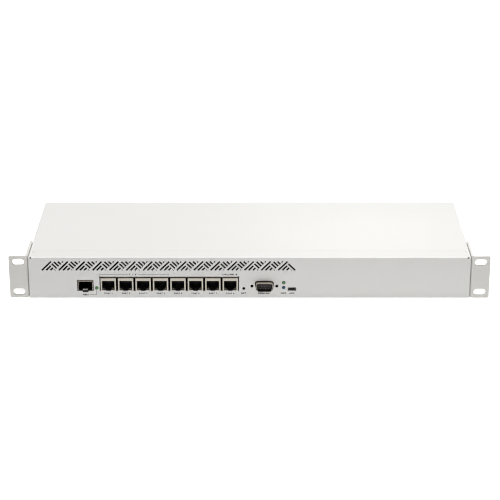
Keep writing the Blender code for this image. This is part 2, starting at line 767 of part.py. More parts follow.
def make_light(name, at, material):
    """A round light pipe with a domed end that shows in the front panel."""
    radius, length = LED_RADIUS, 9.0
    angles = [math.radians(degrees) for degrees in (0, 35, 90)]
    dome = [(radius * math.sin(angle), 0.5 * radius * (math.cos(angle) - 1)) for angle in angles]
    light = turned(name, [*dome, (radius, -length), (0, -length)], 12, material)
    light.location = Vector((at[0], FRONT - 0.4, at[1])) * MM
    light.rotation_euler = (math.radians(90), 0, 0)


def make_serial_port():
    """A nine-pin serial port: a D-shaped shell on a flange, and the insulator with its pins."""
    x, z = SERIAL_AT
    flange_front = FRONT + SHEET + GAP
    shell_out, shell_in = d_shape(SERIAL_AT, *SERIAL_OUTER), d_shape(SERIAL_AT, *SERIAL_INNER)
    shell = prism("serial_shell", [shell_out, shell_in], "Y", FRONT - SERIAL_REACH, flange_front + 0.4, TIN)
    width, height, thickness = SERIAL_FLANGE
    plate = rounded(centred(SERIAL_AT, width, height), 1.0, 2)
    holes = [circle(screw, 1.4, 12) for screw in serial_screws()]
    flange = prism("flange", [plate, shell_in, *holes], "Y", flange_front, flange_front + thickness)
    unite(shell, flange)
    inner = d_shape(SERIAL_AT, *SERIAL_FILL)
    insulator = prism("serial_insulator", [inner], "Y", FRONT - 0.2, FRONT + 9.0, BLACK)
    pins = []
    for count, up in SERIAL_PINS:
        for index in range(count):
            across = x + (index - (count - 1) / 2) * SERIAL_PIN_PITCH
            pins.append(rod("pin", (across, FRONT - 3.7, z + up), (across, FRONT + 2, z + up), 0.5, 6))
    unite(insulator, *pins)


def usb_outline(inset):
    """The socket's outline, narrower at the foot, moved inward by the inset."""
    x, z = USB_AT
    half, rise = USB_SIZE[0] / 2 - inset, USB_SIZE[1] / 2 - inset
    foot = half - 0.8
    corners = [(x - foot, z - rise), (x + foot, z - rise), (x + half, z + rise), (x - half, z + rise)]
    return rounded(corners, 0.4, 1)


def make_usb_port():
    """A small USB socket: the metal shell and the tongue inside it."""
    x, z = USB_AT
    shell = prism("usb_shell", [usb_outline(0.0)], "Y", FRONT + 0.2, FRONT + 6.0, TIN)
    cut(shell, prism("usb_hollow", [usb_outline(0.35)], "Y", FRONT - 1, FRONT + 5.4))
    block("usb_tongue", (x - 1.9, FRONT + 0.8, z - 0.4), (x + 1.9, FRONT + 5.1, z + 0.25), GREY_PLASTIC)


def make_reset_button():
    """A small push switch on the board, with a plunger behind the hole in the panel."""
    x, z = RESET_AT
    low, high = (x - 3.1, FRONT + 6.0, PORT_BOTTOM), (x + 3.1, FRONT + 12.0, z + 3.2)
    switch = block("reset_switch", low, high, BLACK)
    cut(switch, rod("bore", (x, FRONT + 3, z), (x, FRONT + 10.5, z), 1.5, 12))
    plunger = rod("reset_plunger", (x, FRONT + 2.4, z), (x, FRONT + 9.8, z), 1.15, 12, BLACK)
    round_edges(plunger, 0.2, 1)


# ---------------------------------------------------------------- inside
def make_boards():
    for name, (near, far) in (("main_board", MAIN_BOARD), ("power_board", POWER_BOARD)):
        low = (near[0], FRONT + near[1], BOARD_TOP - BOARD_THICKNESS)
        block(name, low, (far[0], FRONT + far[1], BOARD_TOP), BOARD)


def on_board(name, at, size, material=None, lift=0.0):
    """A box of a width, depth and height that stands on a board, or is lifted off it."""
    x, y, foot = at[0], FRONT + at[1], BOARD_TOP + GAP + lift
    width, depth, height = size
    low, high = (x - width / 2, y - depth / 2, foot), (x + width / 2, y + depth / 2, foot + height)
    return block(name, low, high, material)


def make_processor():
    """The processor, its finned heatsink and the memory module beside it."""
    on_board("processor", PROCESSOR_AT, PROCESSOR_SIZE, BLACK)
    x, y = PROCESSOR_AT[0], FRONT + PROCESSOR_AT[1]
    foot = BOARD_TOP + GAP + PROCESSOR_SIZE[2] + GAP
    base = foot + SINK_BASE
    pitch = (2 * SINK_HALF - SINK_FIN) / (SINK_FINS - 1)
    comb = [(x - SINK_HALF, foot), (x + SINK_HALF, foot)]
    for index in reversed(range(SINK_FINS)):
        left = x - SINK_HALF + index * pitch
        right = left + SINK_FIN
        comb += [(right, base), (right, SINK_TOP), (left, SINK_TOP), (left, base)]
    prism("processor_heatsink", [comb], "Y", y - SINK_HALF, y + SINK_HALF, ALUMINIUM)
    on_board("memory_module", MEMORY_AT, MEMORY_SIZE, BOARD_GREEN)


def make_power_supply():
    """The parts of the power supply on its own board."""
    core = on_board("power_transformer", TRANSFORMER_AT, TRANSFORMER_CORE, FERRITE, TRANSFORMER_LIFT)
    unite(core, on_board("winding", TRANSFORMER_AT, TRANSFORMER_WINDING))
    x, y, foot = CAPACITOR_AT[0], FRONT + CAPACITOR_AT[1], BOARD_TOP + GAP
    radius, height = CAPACITOR_SIZE
    round_edges(rod("power_capacitor", (x, y, foot), (x, y, foot + height), radius, 16, SLEEVE), 0.8, 1)
    width, depth, height = POWER_SINK_SIZE
    flange_width, flange = POWER_SINK_FLANGE
    plate = on_board("power_heatsink", POWER_SINK_AT, POWER_SINK_SIZE, ALUMINIUM)
    flange_at = (POWER_SINK_AT[0] + (flange_width - width / 2) / 2, POWER_SINK_AT[1])
    unite(plate, on_board("flange", flange_at, (flange_width, depth, flange), lift=height - flange))


def make_leads():
    """The leads from the mains inlet to the power board, and from there to the main board."""
    x, z = INLET_AT
    y = INLET_MOUTH - INLET_BODY[2] - 1.3
    foot = BOARD_TOP + GAP + LEAD_LIFT
    mains = [(x - 4, y, z), (x - 5, y - 6, z - 2), (x - 6, y - 14, z - 8), (x - 7, y - 26, foot)]
    tube("mains_leads", mains, LEAD_RADIUS, LEAD)
    left, right, y = MAIN_BOARD[1][0], POWER_BOARD[0][0], FRONT + 60
    over = foot + 6
    low_voltage = [(right + 8, y, foot), (right - 1, y, over), (left + 3, y, over), (left - 8, y, foot)]
    tube("low_voltage_leads", low_voltage, LEAD_RADIUS, LEAD)


def make_mains_inlet():
    """The mains inlet in the rear panel, with its three flat pins."""
    x, z = INLET_AT
    width, height, depth = INLET_BODY
    low = (x - width / 2, INLET_MOUTH - depth, z - height / 2)
    high = (x + width / 2, INLET_MOUTH - 0.5, z + height / 2)
    body = block("mains_inlet", low, high, BLACK)
    rim = rounded(centred(INLET_AT, *INLET_RIM[:2]), 1.5)
    unite(body, prism("rim", [rim], "Y", TRAY_REAR + GAP, INLET_MOUTH))
    half, rise, recess_depth = INLET_RECESS
    cut_off = 0.4 * half
    recess = [
        (x - half, z - rise),
        (x + half, z - rise),
        (x + half, z + rise - cut_off),
        (x + half - cut_off, z + rise),
        (x - half + cut_off, z + rise),
        (x - half, z + rise - cut_off),
    ]
    floor = INLET_MOUTH - recess_depth
    cut(body, prism("recess", [recess], "Y", floor, INLET_MOUTH + 4))
    pin_width, pin_height = INLET_PIN
    for name, across, up in INLET_PINS:
        low = (x + across - pin_width / 2, floor + GAP, z + up - pin_height / 2)
        high = (x + across + pin_width / 2, INLET_MOUTH - 5.0, z + up + pin_height / 2)
        round_edges(block(f"mains_pin_{name}", low, high, BRASS), 0.3, 1)


# ---------------------------------------------------------------- fans
def fan_frame_mesh():
    """A square fan frame with a round bore, corner holes, and a motor base on four struts."""
    half, back = FAN_SIZE / 2, FAN_DEPTH / 2
    hole, reach = 0.8 * half, FAN_BORE + 1
    corners = [circle((across * hole, up * hole), 1.7, 6) for across in (-1, 1) for up in (-1, 1)]
    outline = rounded(rectangle(-half, half, -half, half), 3.0, 2)
    frame = prism("frame_master", [outline, circle((0, 0), FAN_BORE, 28), *corners], "Y", -back, back, BLACK)
    base = rod("motor_base", (0, back - FAN_MOTOR, 0), (0, back - 0.2, 0), FAN_HUB, 16)
    near, far = back - FAN_MOTOR + 0.2, back - 0.4
    upright = block("strut", (-0.9, near, -reach), (0.9, far, reach))
    level = block("strut", (-reach, near, -0.9), (reach, far, 0.9))
    return shared_mesh(unite(frame, base, upright, level), BLACK)


def fan_rotor_mesh():
    """A hub with pitched blades, turning about Y."""
    front, back = -FAN_DEPTH / 2 + 1.5, FAN_DEPTH / 2 - FAN_MOTOR - 2 * GAP
    hub = rod("rotor_master", (0, front, 0), (0, back, 0), FAN_HUB, 3 * FAN_BLADES, BLACK)
    chord, thickness, length = FAN_BLADE
    middle = FAN_HUB - 1.0 + length / 2
    blades = []
    for index in range(FAN_BLADES):
        blade = block("blade", (-chord / 2, -thickness / 2, 0), (chord / 2, thickness / 2, length), BLACK)
        angle = 2 * math.pi * index / FAN_BLADES
        blade.location = Vector((middle * math.sin(angle), (front + back) / 2, middle * math.cos(angle))) * MM
        blade.rotation_mode = "ZYX"
        blade.rotation_euler = (0.0, angle, math.radians(FAN_BLADE_PITCH))
        blades.append(blade)
    return shared_mesh(unite(hub, *blades), BLACK)


def make_fans():
    frame, rotor = fan_frame_mesh(), fan_rotor_mesh()
    for number, x in enumerate(FAN_X, 1):
        centre = Vector((x, TRAY_REAR - SHEET - GAP - FAN_DEPTH / 2, FAN_Z)) * MM
        add_object(f"fan_frame_{number}", frame).location = centre
        add_object(f"fan_rotor_{number}", rotor).location = centre


def main():
    make_front_panel()
    make_top_cover()
    make_base_tray()
    make_ear("left", -1)
    make_ear("right", 1)
    make_screws()
    make_network_ports()
    make_fibre_port()
    make_serial_port()
    make_light("status_light_green", LED_GREEN, LIGHT_GREEN)
    make_light("status_light_blue", LED_BLUE, LIGHT_BLUE)
    make_usb_port()
    make_reset_button()
    make_boards()
    make_processor()
    make_power_supply()
    make_mains_inlet()
    make_leads()
    make_fans()


PARTS, CUTTERS = start_scene()
PAINT = make_material("white_paint", (0.72, 0.72, 0.69), 0.35)
TIN = make_material("tinned_steel", (0.62, 0.58, 0.5), 0.3, 1.0)
STEEL = make_material("zinc_steel", (0.55, 0.55, 0.53), 0.3, 1.0)
ALUMINIUM = make_material("aluminium", (0.7, 0.7, 0.7), 0.35, 1.0)
BRASS = make_material("plated_brass", (0.7, 0.6, 0.4), 0.3, 1.0)
BLACK = make_material("black_plastic", (0.012, 0.012, 0.012), 0.45)
GREY_PLASTIC = make_material("grey_plastic", (0.3, 0.3, 0.3), 0.5)
BOARD = make_material("circuit_board", (0.01, 0.08, 0.03), 0.4)
BOARD_GREEN = make_material("memory_board", (0.02, 0.12, 0.04), 0.4)
FERRITE = make_material("ferrite", (0.05, 0.05, 0.055), 0.6)
SLEEVE = make_material("capacitor_sleeve", (0.02, 0.03, 0.08), 0.35)
LEAD = make_material("lead_jacket", (0.02, 0.02, 0.02), 0.5)
LIGHT_GREEN = make_material("green_light", (0.08, 0.35, 0.06), 0.2, glow=0.4)
LIGHT_BLUE = make_material("blue_light", (0.01, 0.12, 0.35), 0.2, glow=0.4)
main()
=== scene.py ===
"""How a one-unit firewall appliance looks: fine casing, ports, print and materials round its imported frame.

Lengths are in millimetres, and the helpers turn them into metres. +X is to the right as seen from the
front, +Y to the rear, +Z up.
"""

from math import atan2, cos, pi, radians, sin, sqrt, tan

import bmesh
import bpy
from mathutils import Matrix, Vector


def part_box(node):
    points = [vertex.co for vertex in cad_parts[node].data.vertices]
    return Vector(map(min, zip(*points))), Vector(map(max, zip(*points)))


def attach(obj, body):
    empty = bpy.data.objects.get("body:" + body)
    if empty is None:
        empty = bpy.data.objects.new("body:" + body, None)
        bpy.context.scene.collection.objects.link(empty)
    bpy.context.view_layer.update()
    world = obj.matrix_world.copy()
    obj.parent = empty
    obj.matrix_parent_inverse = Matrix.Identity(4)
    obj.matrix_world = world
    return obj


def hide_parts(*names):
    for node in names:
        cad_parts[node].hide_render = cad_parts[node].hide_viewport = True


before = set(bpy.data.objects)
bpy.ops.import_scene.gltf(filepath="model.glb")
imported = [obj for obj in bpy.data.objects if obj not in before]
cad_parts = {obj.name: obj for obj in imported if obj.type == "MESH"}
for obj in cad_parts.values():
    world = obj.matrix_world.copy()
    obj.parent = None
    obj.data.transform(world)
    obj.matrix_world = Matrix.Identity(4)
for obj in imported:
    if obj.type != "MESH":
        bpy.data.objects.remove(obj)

MM = 0.001
SCENE = bpy.context.scene
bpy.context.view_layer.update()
ROOT = "chassis"


def span(node):
    """A CAD node's lowest and highest corner, in millimetres."""
    low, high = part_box(node)
    return low / MM, high / MM


def middle(node):
    low, high = span(node)
    return (low + high) / 2


# ---- Places read from the frame ----
PANEL_LOW, PANEL_HIGH = span("front_panel")
COVER_LOW, COVER_HIGH = span("top_cover")
TRAY_LOW, TRAY_HIGH = span("base_tray")
FRONT = PANEL_LOW.y
REAR = COVER_HIGH.y
HALF_WIDTH = PANEL_HIGH.x
CASE_HEIGHT = PANEL_HIGH.z
PANEL_TOP_BACK = PANEL_HIGH.y
TRAY_REAR = TRAY_HIGH.y
PORT_X = [middle(f"port_shield_{number}").x for number in range(1, 9)]
_, PORT_FRONT, PORT_FOOT = span("port_shield_1")[0]
SFP_X = middle("fibre_cage").x
SERIAL_X, _, SERIAL_Z = middle("serial_insulator")
SERIAL_TIP = span("serial_shell")[0].y
USB_X, _, USB_Z = middle("usb_shell")
RESET_X, _, RESET_Z = middle("reset_plunger")
INLET_X, _, INLET_Z = middle("mains_inlet")
INLET_MOUTH = span("mains_inlet")[1].y
BOARD_TOP = span("main_board")[1].z
FAN_AT = [middle(f"fan_frame_{number}") for number in (1, 2)]
TAB_X = [middle(f"cover_screw_{number}").x for number in (1, 2, 3)]

# ---- Sizes shared with the frame's design ----
GAP = 0.3
SHEET = 1.0
BEND = 1.3
EAR_SHEET, EAR_BEND = 2.0, 2.6
PANEL_RETURN = 12.0
PANEL_TOP_HALF = 218.0
TRAY_SIDE = 11.0
BORE = 1.8
EAR_SCREW_AT = ((8.0, 9.0), (8.0, 35.0), (34.0, 22.0))  # depth behind the front, height
RACK_SLOT_X, RACK_SLOT_LENGTH, RACK_SLOT_WIDTH, RACK_SLOT_PITCH = 231.8, 5.7, 6.5, 31.75
TAB_HALF, TAB_DROP, TAB_SCREW_DROP = 7.0, 11.0, 6.0
COVER_LIP = 3.0
VENT_SLOT, VENT_LEFT, VENT_BOTTOM, VENT_HEIGHT = 1.8, -208.2, 30.3, 9.3
VENT_PERIOD, VENT_PERIODS, VENT_MARGIN = 16.93, 15, 3.2
REAR_SLOT, REAR_SLOT_PITCH, FAN_SLOT_PITCH = 2.4, 5.0, 4.2
PORT_BANK = (-150.9, -10.6, 7.85, 23.4)  # left, right, bottom, top
PORT_BANK_RELIEF = 0.9
CORNER_RELIEF, CORNER_RELIEF_X = 0.9, 219.4
PORT_HALF, PORT_HEIGHT, PORT_DEPTH = 7.85, 14.1, 21.0
SERIAL_CUT = (20.4, 11.4, 3.0)  # width, height, corner radius
LED_RADIUS = 1.7
EDGE = 0.14  # rounding of a punched or cut edge
OUTSIDE = 240  # beyond the case on either side


def adjust(thing, **settings):
    for setting, value in settings.items():
        setattr(thing, setting, value)
    return thing


def feed(tree, node, sockets):
    """Gives each named socket a value, or links it to the output that feeds it."""
    for name, value in sockets.items():
        if isinstance(value, bpy.types.NodeSocket):
            tree.links.new(value, node.inputs[name])
        else:
            node.inputs[name].default_value = value


def shade(tree, kind, output, sockets, **settings):
    """The output of a new shader node."""
    node = adjust(tree.nodes.new("ShaderNode" + kind), **settings)
    feed(tree, node, sockets)
    return node.outputs[output]


def mixed(tree, factor, first, second, **settings):
    """One colour mixed into another."""
    colours = {"Factor": factor, "A": first, "B": second}
    return shade(tree, "Mix", "Result", colours, data_type="RGBA", **settings)


def rescaled(tree, value, from_low, from_high, to_low, to_high, **settings):
    limits = {"From Min": from_low, "From Max": from_high, "To Min": to_low, "To Max": to_high}
    return shade(tree, "MapRange", "Result", {"Value": value, **limits}, **settings)


def own_place(tree):
    """The place in the object's own coordinates."""
    return shade(tree, "TexCoord", "Object", {})


def noise_at(tree, scale, stretch, detail=3.0):
    """A noise over the object's own coordinates, in cells per metre, drawn out by the stretch."""
    drawn_out = shade(tree, "Mapping", "Vector", {"Vector": own_place(tree), "Scale": stretch})
    return shade(tree, "TexNoise", "Fac", {"Vector": drawn_out, "Scale": scale, "Detail": detail})


def make_material(name, slot, colour, roughness, vary, grain, relief, metallic=0.0, stretch=(1, 1, 1),
                  cloud=0.0, other=None, **sockets):
    """vary is how far the grain changes the colour, grain its number in a metre, relief its height in
    millimetres, cloud how far the colour drifts over centimetres, and other a second colour to mix in."""
    made = bpy.data.materials.new(name)
    made.use_nodes = True
    tree = made.node_tree
    grain_value = noise_at(tree, grain, stretch)
    dark = [channel * (1 - vary) for channel in colour]
    light = other or [min(1.0, channel * (1 + vary)) for channel in colour]
    base = mixed(tree, grain_value, (*dark, 1), (*light, 1))
    if cloud:
        drift = rescaled(tree, noise_at(tree, 14.0, (1, 1, 1), 2.0), 0.0, 1.0, 1.0 - cloud, 1.0)
        base = mixed(tree, 1.0, base, drift, blend_type="MULTIPLY")
    gloss = rescaled(tree, grain_value, 0.3, 0.7, roughness * 0.85, min(1.0, roughness * 1.15))
    finish = {"Base Color": base, "Roughness": gloss, "Metallic": metallic}
    if relief:
        bump = {"Strength": 0.6, "Distance": relief * MM, "Height": grain_value}
        finish["Normal"] = shade(tree, "Bump", "Normal", bump)
    finish.update({socket.replace("_", " "): value for socket, value in sockets.items()})
    feed(tree, tree.nodes["Principled BSDF"], finish)
    return made


def make_board_material(name, slot, mask, track):
    """Solder mask over copper: straight tracks and plated holes under a green coat."""
    made = make_material(name, slot, mask, 0.35, 0.1, 900, 0.0)
    tree = made.node_tree
    place = own_place(tree)
    dark = [channel * 0.8 for channel in mask]
    tracks = shade(tree, "TexBrick", "Color", {
        "Vector": place, "Scale": 260, "Mortar Size": 0.03, "Color1": (*mask, 1), "Color2": (*dark, 1),
        "Mortar": (*track, 1)})
    distance = shade(tree, "TexVoronoi", "Distance", {"Vector": place, "Scale": 240.0})
    hole = shade(tree, "Math", "Value", {0: distance, 1: 0.1}, operation="LESS_THAN")
    feed(tree, tree.nodes["Principled BSDF"], {"Base Color": mixed(tree, hole, tracks, (0.6, 0.55, 0.4, 1))})
    return made


def powder_coat(name, colour):
    return make_material(
        name, "white_paint", colour, 0.42, 0.025, 1500, 0.02, cloud=0.025, Specular_IOR_Level=0.45)


def metal(name, slot, colour, roughness, vary=0.08, grain=500, relief=0.004, **more):
    return make_material(name, slot, colour, roughness, vary, grain, relief, 1.0, **more)


def jacket(name, colour, grain=800, other=None):
    return make_material(name, "lead_jacket", colour, 0.45, 0.1, grain, 0.01, other=other)


def light_pipe(colour_name, colour, glow, coat):
    return make_material(
        f"{colour_name}_light_pipe", f"{colour_name}_light", colour, 0.2, 0.15, 500, 0.003,
        Emission_Color=(*glow, 1), Emission_Strength=0.2, Coat_Weight=coat)


# Numbers after a colour: roughness, vary, grain and relief.
PAINT = powder_coat("powder_coat", (0.70, 0.695, 0.68))
# Painted shade: a darker copy of the powder coat for the ears, which the light beside the case would
# otherwise make brighter than the panel.
SHADED_EAR_PAINT = powder_coat("ear_powder_coat_painted_shade", (0.665, 0.65, 0.62))
TIN = metal("tinned_shell", "tinned_steel", (0.46, 0.43, 0.375), 0.34, stretch=(1, 1, 6), cloud=0.08)
# Painted shade: a darkened copy of the tinned steel for the fibre cage and its collar, the small port's shell
# and the jacks' ground strip. It stands in for the shadow in and around them.
SHADED_CAGE = metal("cage_metal_painted_shade", "tinned_steel", (0.2, 0.18, 0.155), 0.4, 0.12, cloud=0.1)
# Painted shade: a near-black copy of the tinned steel for the serial flange and nuts, which sit in shadow
# behind the panel.
SHADED_NICKEL = metal("nickel_painted_shade", "tinned_steel", (0.06, 0.055, 0.045), 0.5, 0.15, 600)
SATIN_TIN = metal("satin_tin", "tinned_steel", (0.5, 0.46, 0.39), 0.55)
ZINC = metal("zinc_plate", "zinc_steel", (0.6, 0.6, 0.57), 0.32, 0.08, 800, 0.006, cloud=0.06)
GOLD = metal("gold_plate", "plated_brass", (0.78, 0.56, 0.25), 0.25, 0.06, 900, 0.002)
PIN = metal("pin_plate", "plated_brass", (0.36, 0.34, 0.3), 0.3, 0.05, 900, 0.002)
ALUMINIUM = metal(
    "extruded_aluminium", "aluminium", (0.62, 0.63, 0.64), 0.38, 0.06, 400, 0.006, stretch=(8, 1, 8))
BLACK = make_material("black_moulding", "black_plastic", (0.011, 0.011, 0.012), 0.5, 0.25, 1100, 0.01)
# Painted light: a light moulding that stands in for the lit lip of the fibre cage's metal latch tab.
PAINTED_LIGHT_MOULDING = make_material("moulding_painted_light", "grey_plastic", (0.62, 0.62, 0.6), 0.45, 0.06, 900, 0.004)
CHIP = make_material("chip_resin", "black_plastic", (0.02, 0.02, 0.022), 0.55, 0.3, 1600, 0.008)
BOARD = make_board_material("solder_mask", "circuit_board", (0.004, 0.02, 0.012), (0.01, 0.05, 0.028))
MEMORY = make_board_material("memory_mask", "memory_board", (0.01, 0.09, 0.04), (0.04, 0.2, 0.1))
TAPE = make_material(
    "winding_tape", "ferrite", (0.62, 0.42, 0.06), 0.35, 0.06, 300, 0.02, stretch=(1, 1, 9))
FERRITE = make_material("ferrite", "ferrite", (0.045, 0.045, 0.05), 0.7, 0.2, 1400, 0.02)
SLEEVE = make_material("capacitor_sleeve", "capacitor_sleeve", (0.015, 0.025, 0.08), 0.3, 0.1, 500, 0.006)
INK = make_material("printed_ink", "black_plastic", (0.022, 0.022, 0.024), 0.6, 0.2, 2500, 0.004)
LABEL = make_material("paper_label", "white_paint", (0.75, 0.75, 0.73), 0.6, 0.03, 1500, 0.004)
WIRE_LIVE = jacket("brown_jacket", (0.09, 0.035, 0.015))
WIRE_NEUTRAL = jacket("blue_jacket", (0.012, 0.05, 0.25))
WIRE_EARTH = jacket("green_yellow_jacket", (0.02, 0.2, 0.03), 90, (0.7, 0.6, 0.03))
GREEN_LIGHT = light_pipe("green", (0.03, 0.12, 0.025), (0.08, 0.27, 0.05), 0.25)
BLUE_LIGHT = light_pipe("blue", (0.001, 0.03, 0.07), (0.0, 0.1, 0.18), 0.15)
LIGHTS = {"fibre_light": GREEN_LIGHT, "status_light_green": GREEN_LIGHT, "status_light_blue": BLUE_LIGHT}


# ---- Shapes ----
def link(name, data):
    obj = bpy.data.objects.new(name, data)
    SCENE.collection.objects.link(obj)
    return obj


def remove(obj):
    bpy.data.objects.remove(obj)


def link_bmesh(bm, name="mesh"):
    mesh = bpy.data.meshes.new(name)
    bm.to_mesh(mesh)
    bm.free()
    return link(name, mesh)


def at(place):
    return Matrix.Translation(Vector(place) * MM)


def facing_front(place):
    """The place of a turned shape, whose top looks to the front."""
    return at(place) @ Matrix.Rotation(radians(90), 4, "X")


def box_bmesh(low, high):
    low, high = Vector(low) * MM, Vector(high) * MM
    bm = bmesh.new()
    bmesh.ops.create_cube(bm, size=1.0)
    bmesh.ops.scale(bm, vec=high - low, verts=bm.verts)
    bmesh.ops.translate(bm, vec=(low + high) / 2, verts=bm.verts)
    return bm


def block(low, high):
    return link_bmesh(box_bmesh(low, high))


def rod(start, end, radius, sides=24):
    start, end = Vector(start) * MM, Vector(end) * MM
    bm = bmesh.new()
    size = {"radius1": radius * MM, "radius2": radius * MM, "depth": (end - start).length}
    bmesh.ops.create_cone(bm, cap_ends=True, segments=sides, **size)
    turn = (end - start).to_track_quat("Z", "Y").to_matrix().to_4x4()
    bm.transform(Matrix.Translation((start + end) / 2) @ turn)
    return link_bmesh(bm)


def turned(profile, sides=32, place=Matrix()):
    """A shape turned about its own Z axis, at a place. The profile is (radius, height) from top to bottom."""
    bm = bmesh.new()
    points = [bm.verts.new((radius * MM, 0.0, height * MM)) for radius, height in profile]
    for first, second in zip(points, points[1:]):
        bm.edges.new((first, second))
    made = modify(
        link_bmesh(bm), "SCREW", steps=sides, render_steps=sides, use_merge_vertices=True,
        merge_threshold=0.00001)
    made.matrix_world = place
    return made


def dome(radius, rise, foot, step):
    """The profile of a round top, from its tip to its edge, which is at the foot's height."""
    angles = [radians(degrees) for degrees in range(0, 91, step)]
    return [(radius * sin(angle), foot + rise * cos(angle)) for angle in angles]


def curve_of(lines, closed, **settings):
    """A curve of straight runs through the points of each line, in metres."""
    curve = adjust(bpy.data.curves.new("curve", "CURVE"), **settings)
    for points in lines:
        spline = curve.splines.new("POLY")
        spline.points.add(len(points) - 1)
        for point, place in zip(spline.points, points):
            point.co = (*place, 1.0)
        spline.use_cyclic_u = closed
    return link("curve", curve)


def prism(outlines, axis, low, high):
    """An outline, with the outlines inside it as holes, made thick along an axis from low to high.

    Its points are (y, z), (x, z) or (x, y)."""
    lines = [[(across * MM, up * MM, 0.0) for across, up in outline] for outline in outlines]
    flat = curve_of(lines, True, dimensions="2D", fill_mode="BOTH", extrude=(high - low) / 2 * MM)
    flat.location["XYZ".index(axis)] = (low + high) / 2 * MM
    flat.rotation_euler = (radians(90) * (axis != "Z"), 0.0, radians(90) * (axis == "X"))
    return solid(flat)


def tube(points, radius, resolution=3):
    """A round wire through the points."""
    line = [Vector(point) * MM for point in points]
    return solid(curve_of(
        [line], False, dimensions="3D", bevel_depth=radius * MM, bevel_resolution=resolution,
        use_fill_caps=True))


def solid(obj):
    """The object with its modifiers, or its curve, made into a welded mesh in place."""
    bpy.context.view_layer.update()
    graph = bpy.context.evaluated_depsgraph_get()
    mesh = bpy.data.meshes.new_from_object(obj.evaluated_get(graph))
    mesh.transform(obj.matrix_world)
    bm = bmesh.new()
    bm.from_mesh(mesh)
    bmesh.ops.remove_doubles(bm, verts=bm.verts, dist=0.000001)
    bm.to_mesh(mesh)
    bm.free()
    mesh.materials.clear()
    remove(obj)
    return link("solid", mesh)


def modify(obj, kind, **settings):
    """The object with a modifier applied."""
    adjust(obj.modifiers.new(kind, kind), **settings)
    return solid(obj)


def joined(objects):
    """Several meshes as one object, left as separate bodies."""
    bm = bmesh.new()
    for obj in objects:
        bm.from_mesh(obj.data)
        remove(obj)
    return link_bmesh(bm)


def combine(target, operation, tools):
    for tool in tools:
        boolean = target.modifiers.new("combine", "BOOLEAN")
        adjust(boolean, operation=operation, solver="EXACT", object=tool)
    made = solid(target)
    for tool in tools:
        remove(tool)
    return made


def cut(target, *tools):
    return combine(target, "DIFFERENCE", tools)


def unite(target, *tools):
    return combine(target, "UNION", tools)


def soften(obj, width=EDGE, segments=2, angle=40):
    """Rounds the edges that are sharper than the angle."""
    limit = {"limit_method": "ANGLE", "angle_limit": radians(angle)}
    return modify(obj, "BEVEL", width=width * MM, segments=segments, miter_outer="MITER_ARC", **limit)


def folded(low, high, sides, thickness=SHEET, bend=BEND, corner=0.0, steps=8):
    """Folded sheet: the named sides of a box joined by bends, such as "+Z -X", with the sheet inside the box.

    corner rounds the free corners of the first side."""
    bm = box_bmesh(low, high)
    bm.normal_update()
    kept = [Vector([int(sign + "1") * (name == axis) for name in "XYZ"]) for sign, axis in sides.split()]
    spare = [face for face in bm.faces if all(face.normal.dot(side) < 0.9 for side in kept)]
    bmesh.ops.delete(bm, geom=spare, context="FACES")
    if corner:
        first = next(face for face in bm.faces if face.normal.dot(kept[0]) > 0.9)
        free = [vert for vert in first.verts if len(vert.link_faces) == 1]
        bmesh.ops.bevel(bm, geom=free, offset=corner * MM, segments=6, profile=0.5, affect="VERTICES")
    folds = [edge for edge in bm.edges if len(edge.link_faces) == 2]
    bmesh.ops.bevel(bm, geom=folds, offset=bend * MM, segments=steps, profile=0.5, affect="EDGES")
    return modify(
        link_bmesh(bm), "SOLIDIFY", thickness=thickness * MM, offset=-1.0, use_even_offset=True)


def smooth_path(points, steps=6):
    """Points on a Catmull-Rom curve through the given ones."""
    points = [Vector(point) for point in points]
    points = [2 * points[0] - points[1], *points, 2 * points[-1] - points[-2]]
    path = []
    for before, start, end, after in zip(points, points[1:], points[2:], points[3:]):
        for step in range(steps):
            t = step / steps
            bend = (2 * before - 5 * start + 4 * end - after) * t**2
            twist = (3 * start - before - 3 * end + after) * t**3
            path.append(0.5 * (2 * start + (end - before) * t + bend + twist))
    return [*path, points[-2]]


# ---- Outlines ----
def rectangle(left, right, bottom, top):
    return [(left, bottom), (right, bottom), (right, top), (left, top)]


def centred(x, z, half, rise):
    return rectangle(x - half, x + half, z - rise, z + rise)


def around(centre, radius, angle):
    return centre[0] + radius * cos(angle), centre[1] + radius * sin(angle)


def circle(centre, radius, sides=24):
    return [around(centre, radius, 2 * pi * step / sides) for step in range(sides)]


def strip(line, across, up):
    """A thin strip's outline: a line, and the same line moved and drawn backward."""
    return [*line, *[(x + across, y + up) for x, y in reversed(line)]]


def stadium(start, end, width, end_steps):
    """A slot with round ends, about the line from start to end. One end step makes square ends."""
    heading = atan2(end[1] - start[1], end[0] - start[0])
    outline = []
    for centre, facing in ((end, heading), (start, heading + pi)):
        for step in range(end_steps + 1):
            outline.append(around(centre, width / 2, facing - pi / 2 + pi * step / end_steps))
    return outline


def spread(count, pitch, centre=0.0):
    """Places a pitch apart, about a centre."""
    return [centre + (index - (count - 1) / 2) * pitch for index in range(count)]


def rounded(outline, radius, steps=5):
    """A convex outline, anticlockwise, with an arc of the radius at each corner."""
    points = [Vector(point) for point in outline]
    made = []
    for before, corner, after in zip(points[-1:] + points[:-1], points, points[1:] + points[:1]):
        inward, outward = (before - corner).normalized(), (after - corner).normalized()
        half = inward.angle(outward) / 2
        centre = corner + (inward + outward).normalized() * radius / sin(half)
        first = corner + inward * radius / tan(half) - centre
        last = corner + outward * radius / tan(half) - centre
        sweep = first.angle_signed(last)
        for step in range(steps + 1):
            made.append(around(centre, radius, atan2(first.y, first.x) - sweep * step / steps))
    return made


def flared(x, z, width, height, lean, radius):
    """A rounded outline about x and z, wider at its top than at its foot by the lean on each side."""
    left, right, bottom, top = x - width / 2, x + width / 2, z - height / 2, z + height / 2
    return rounded([(left + lean, bottom), (right - lean, bottom), (right, top), (left, top)], radius)


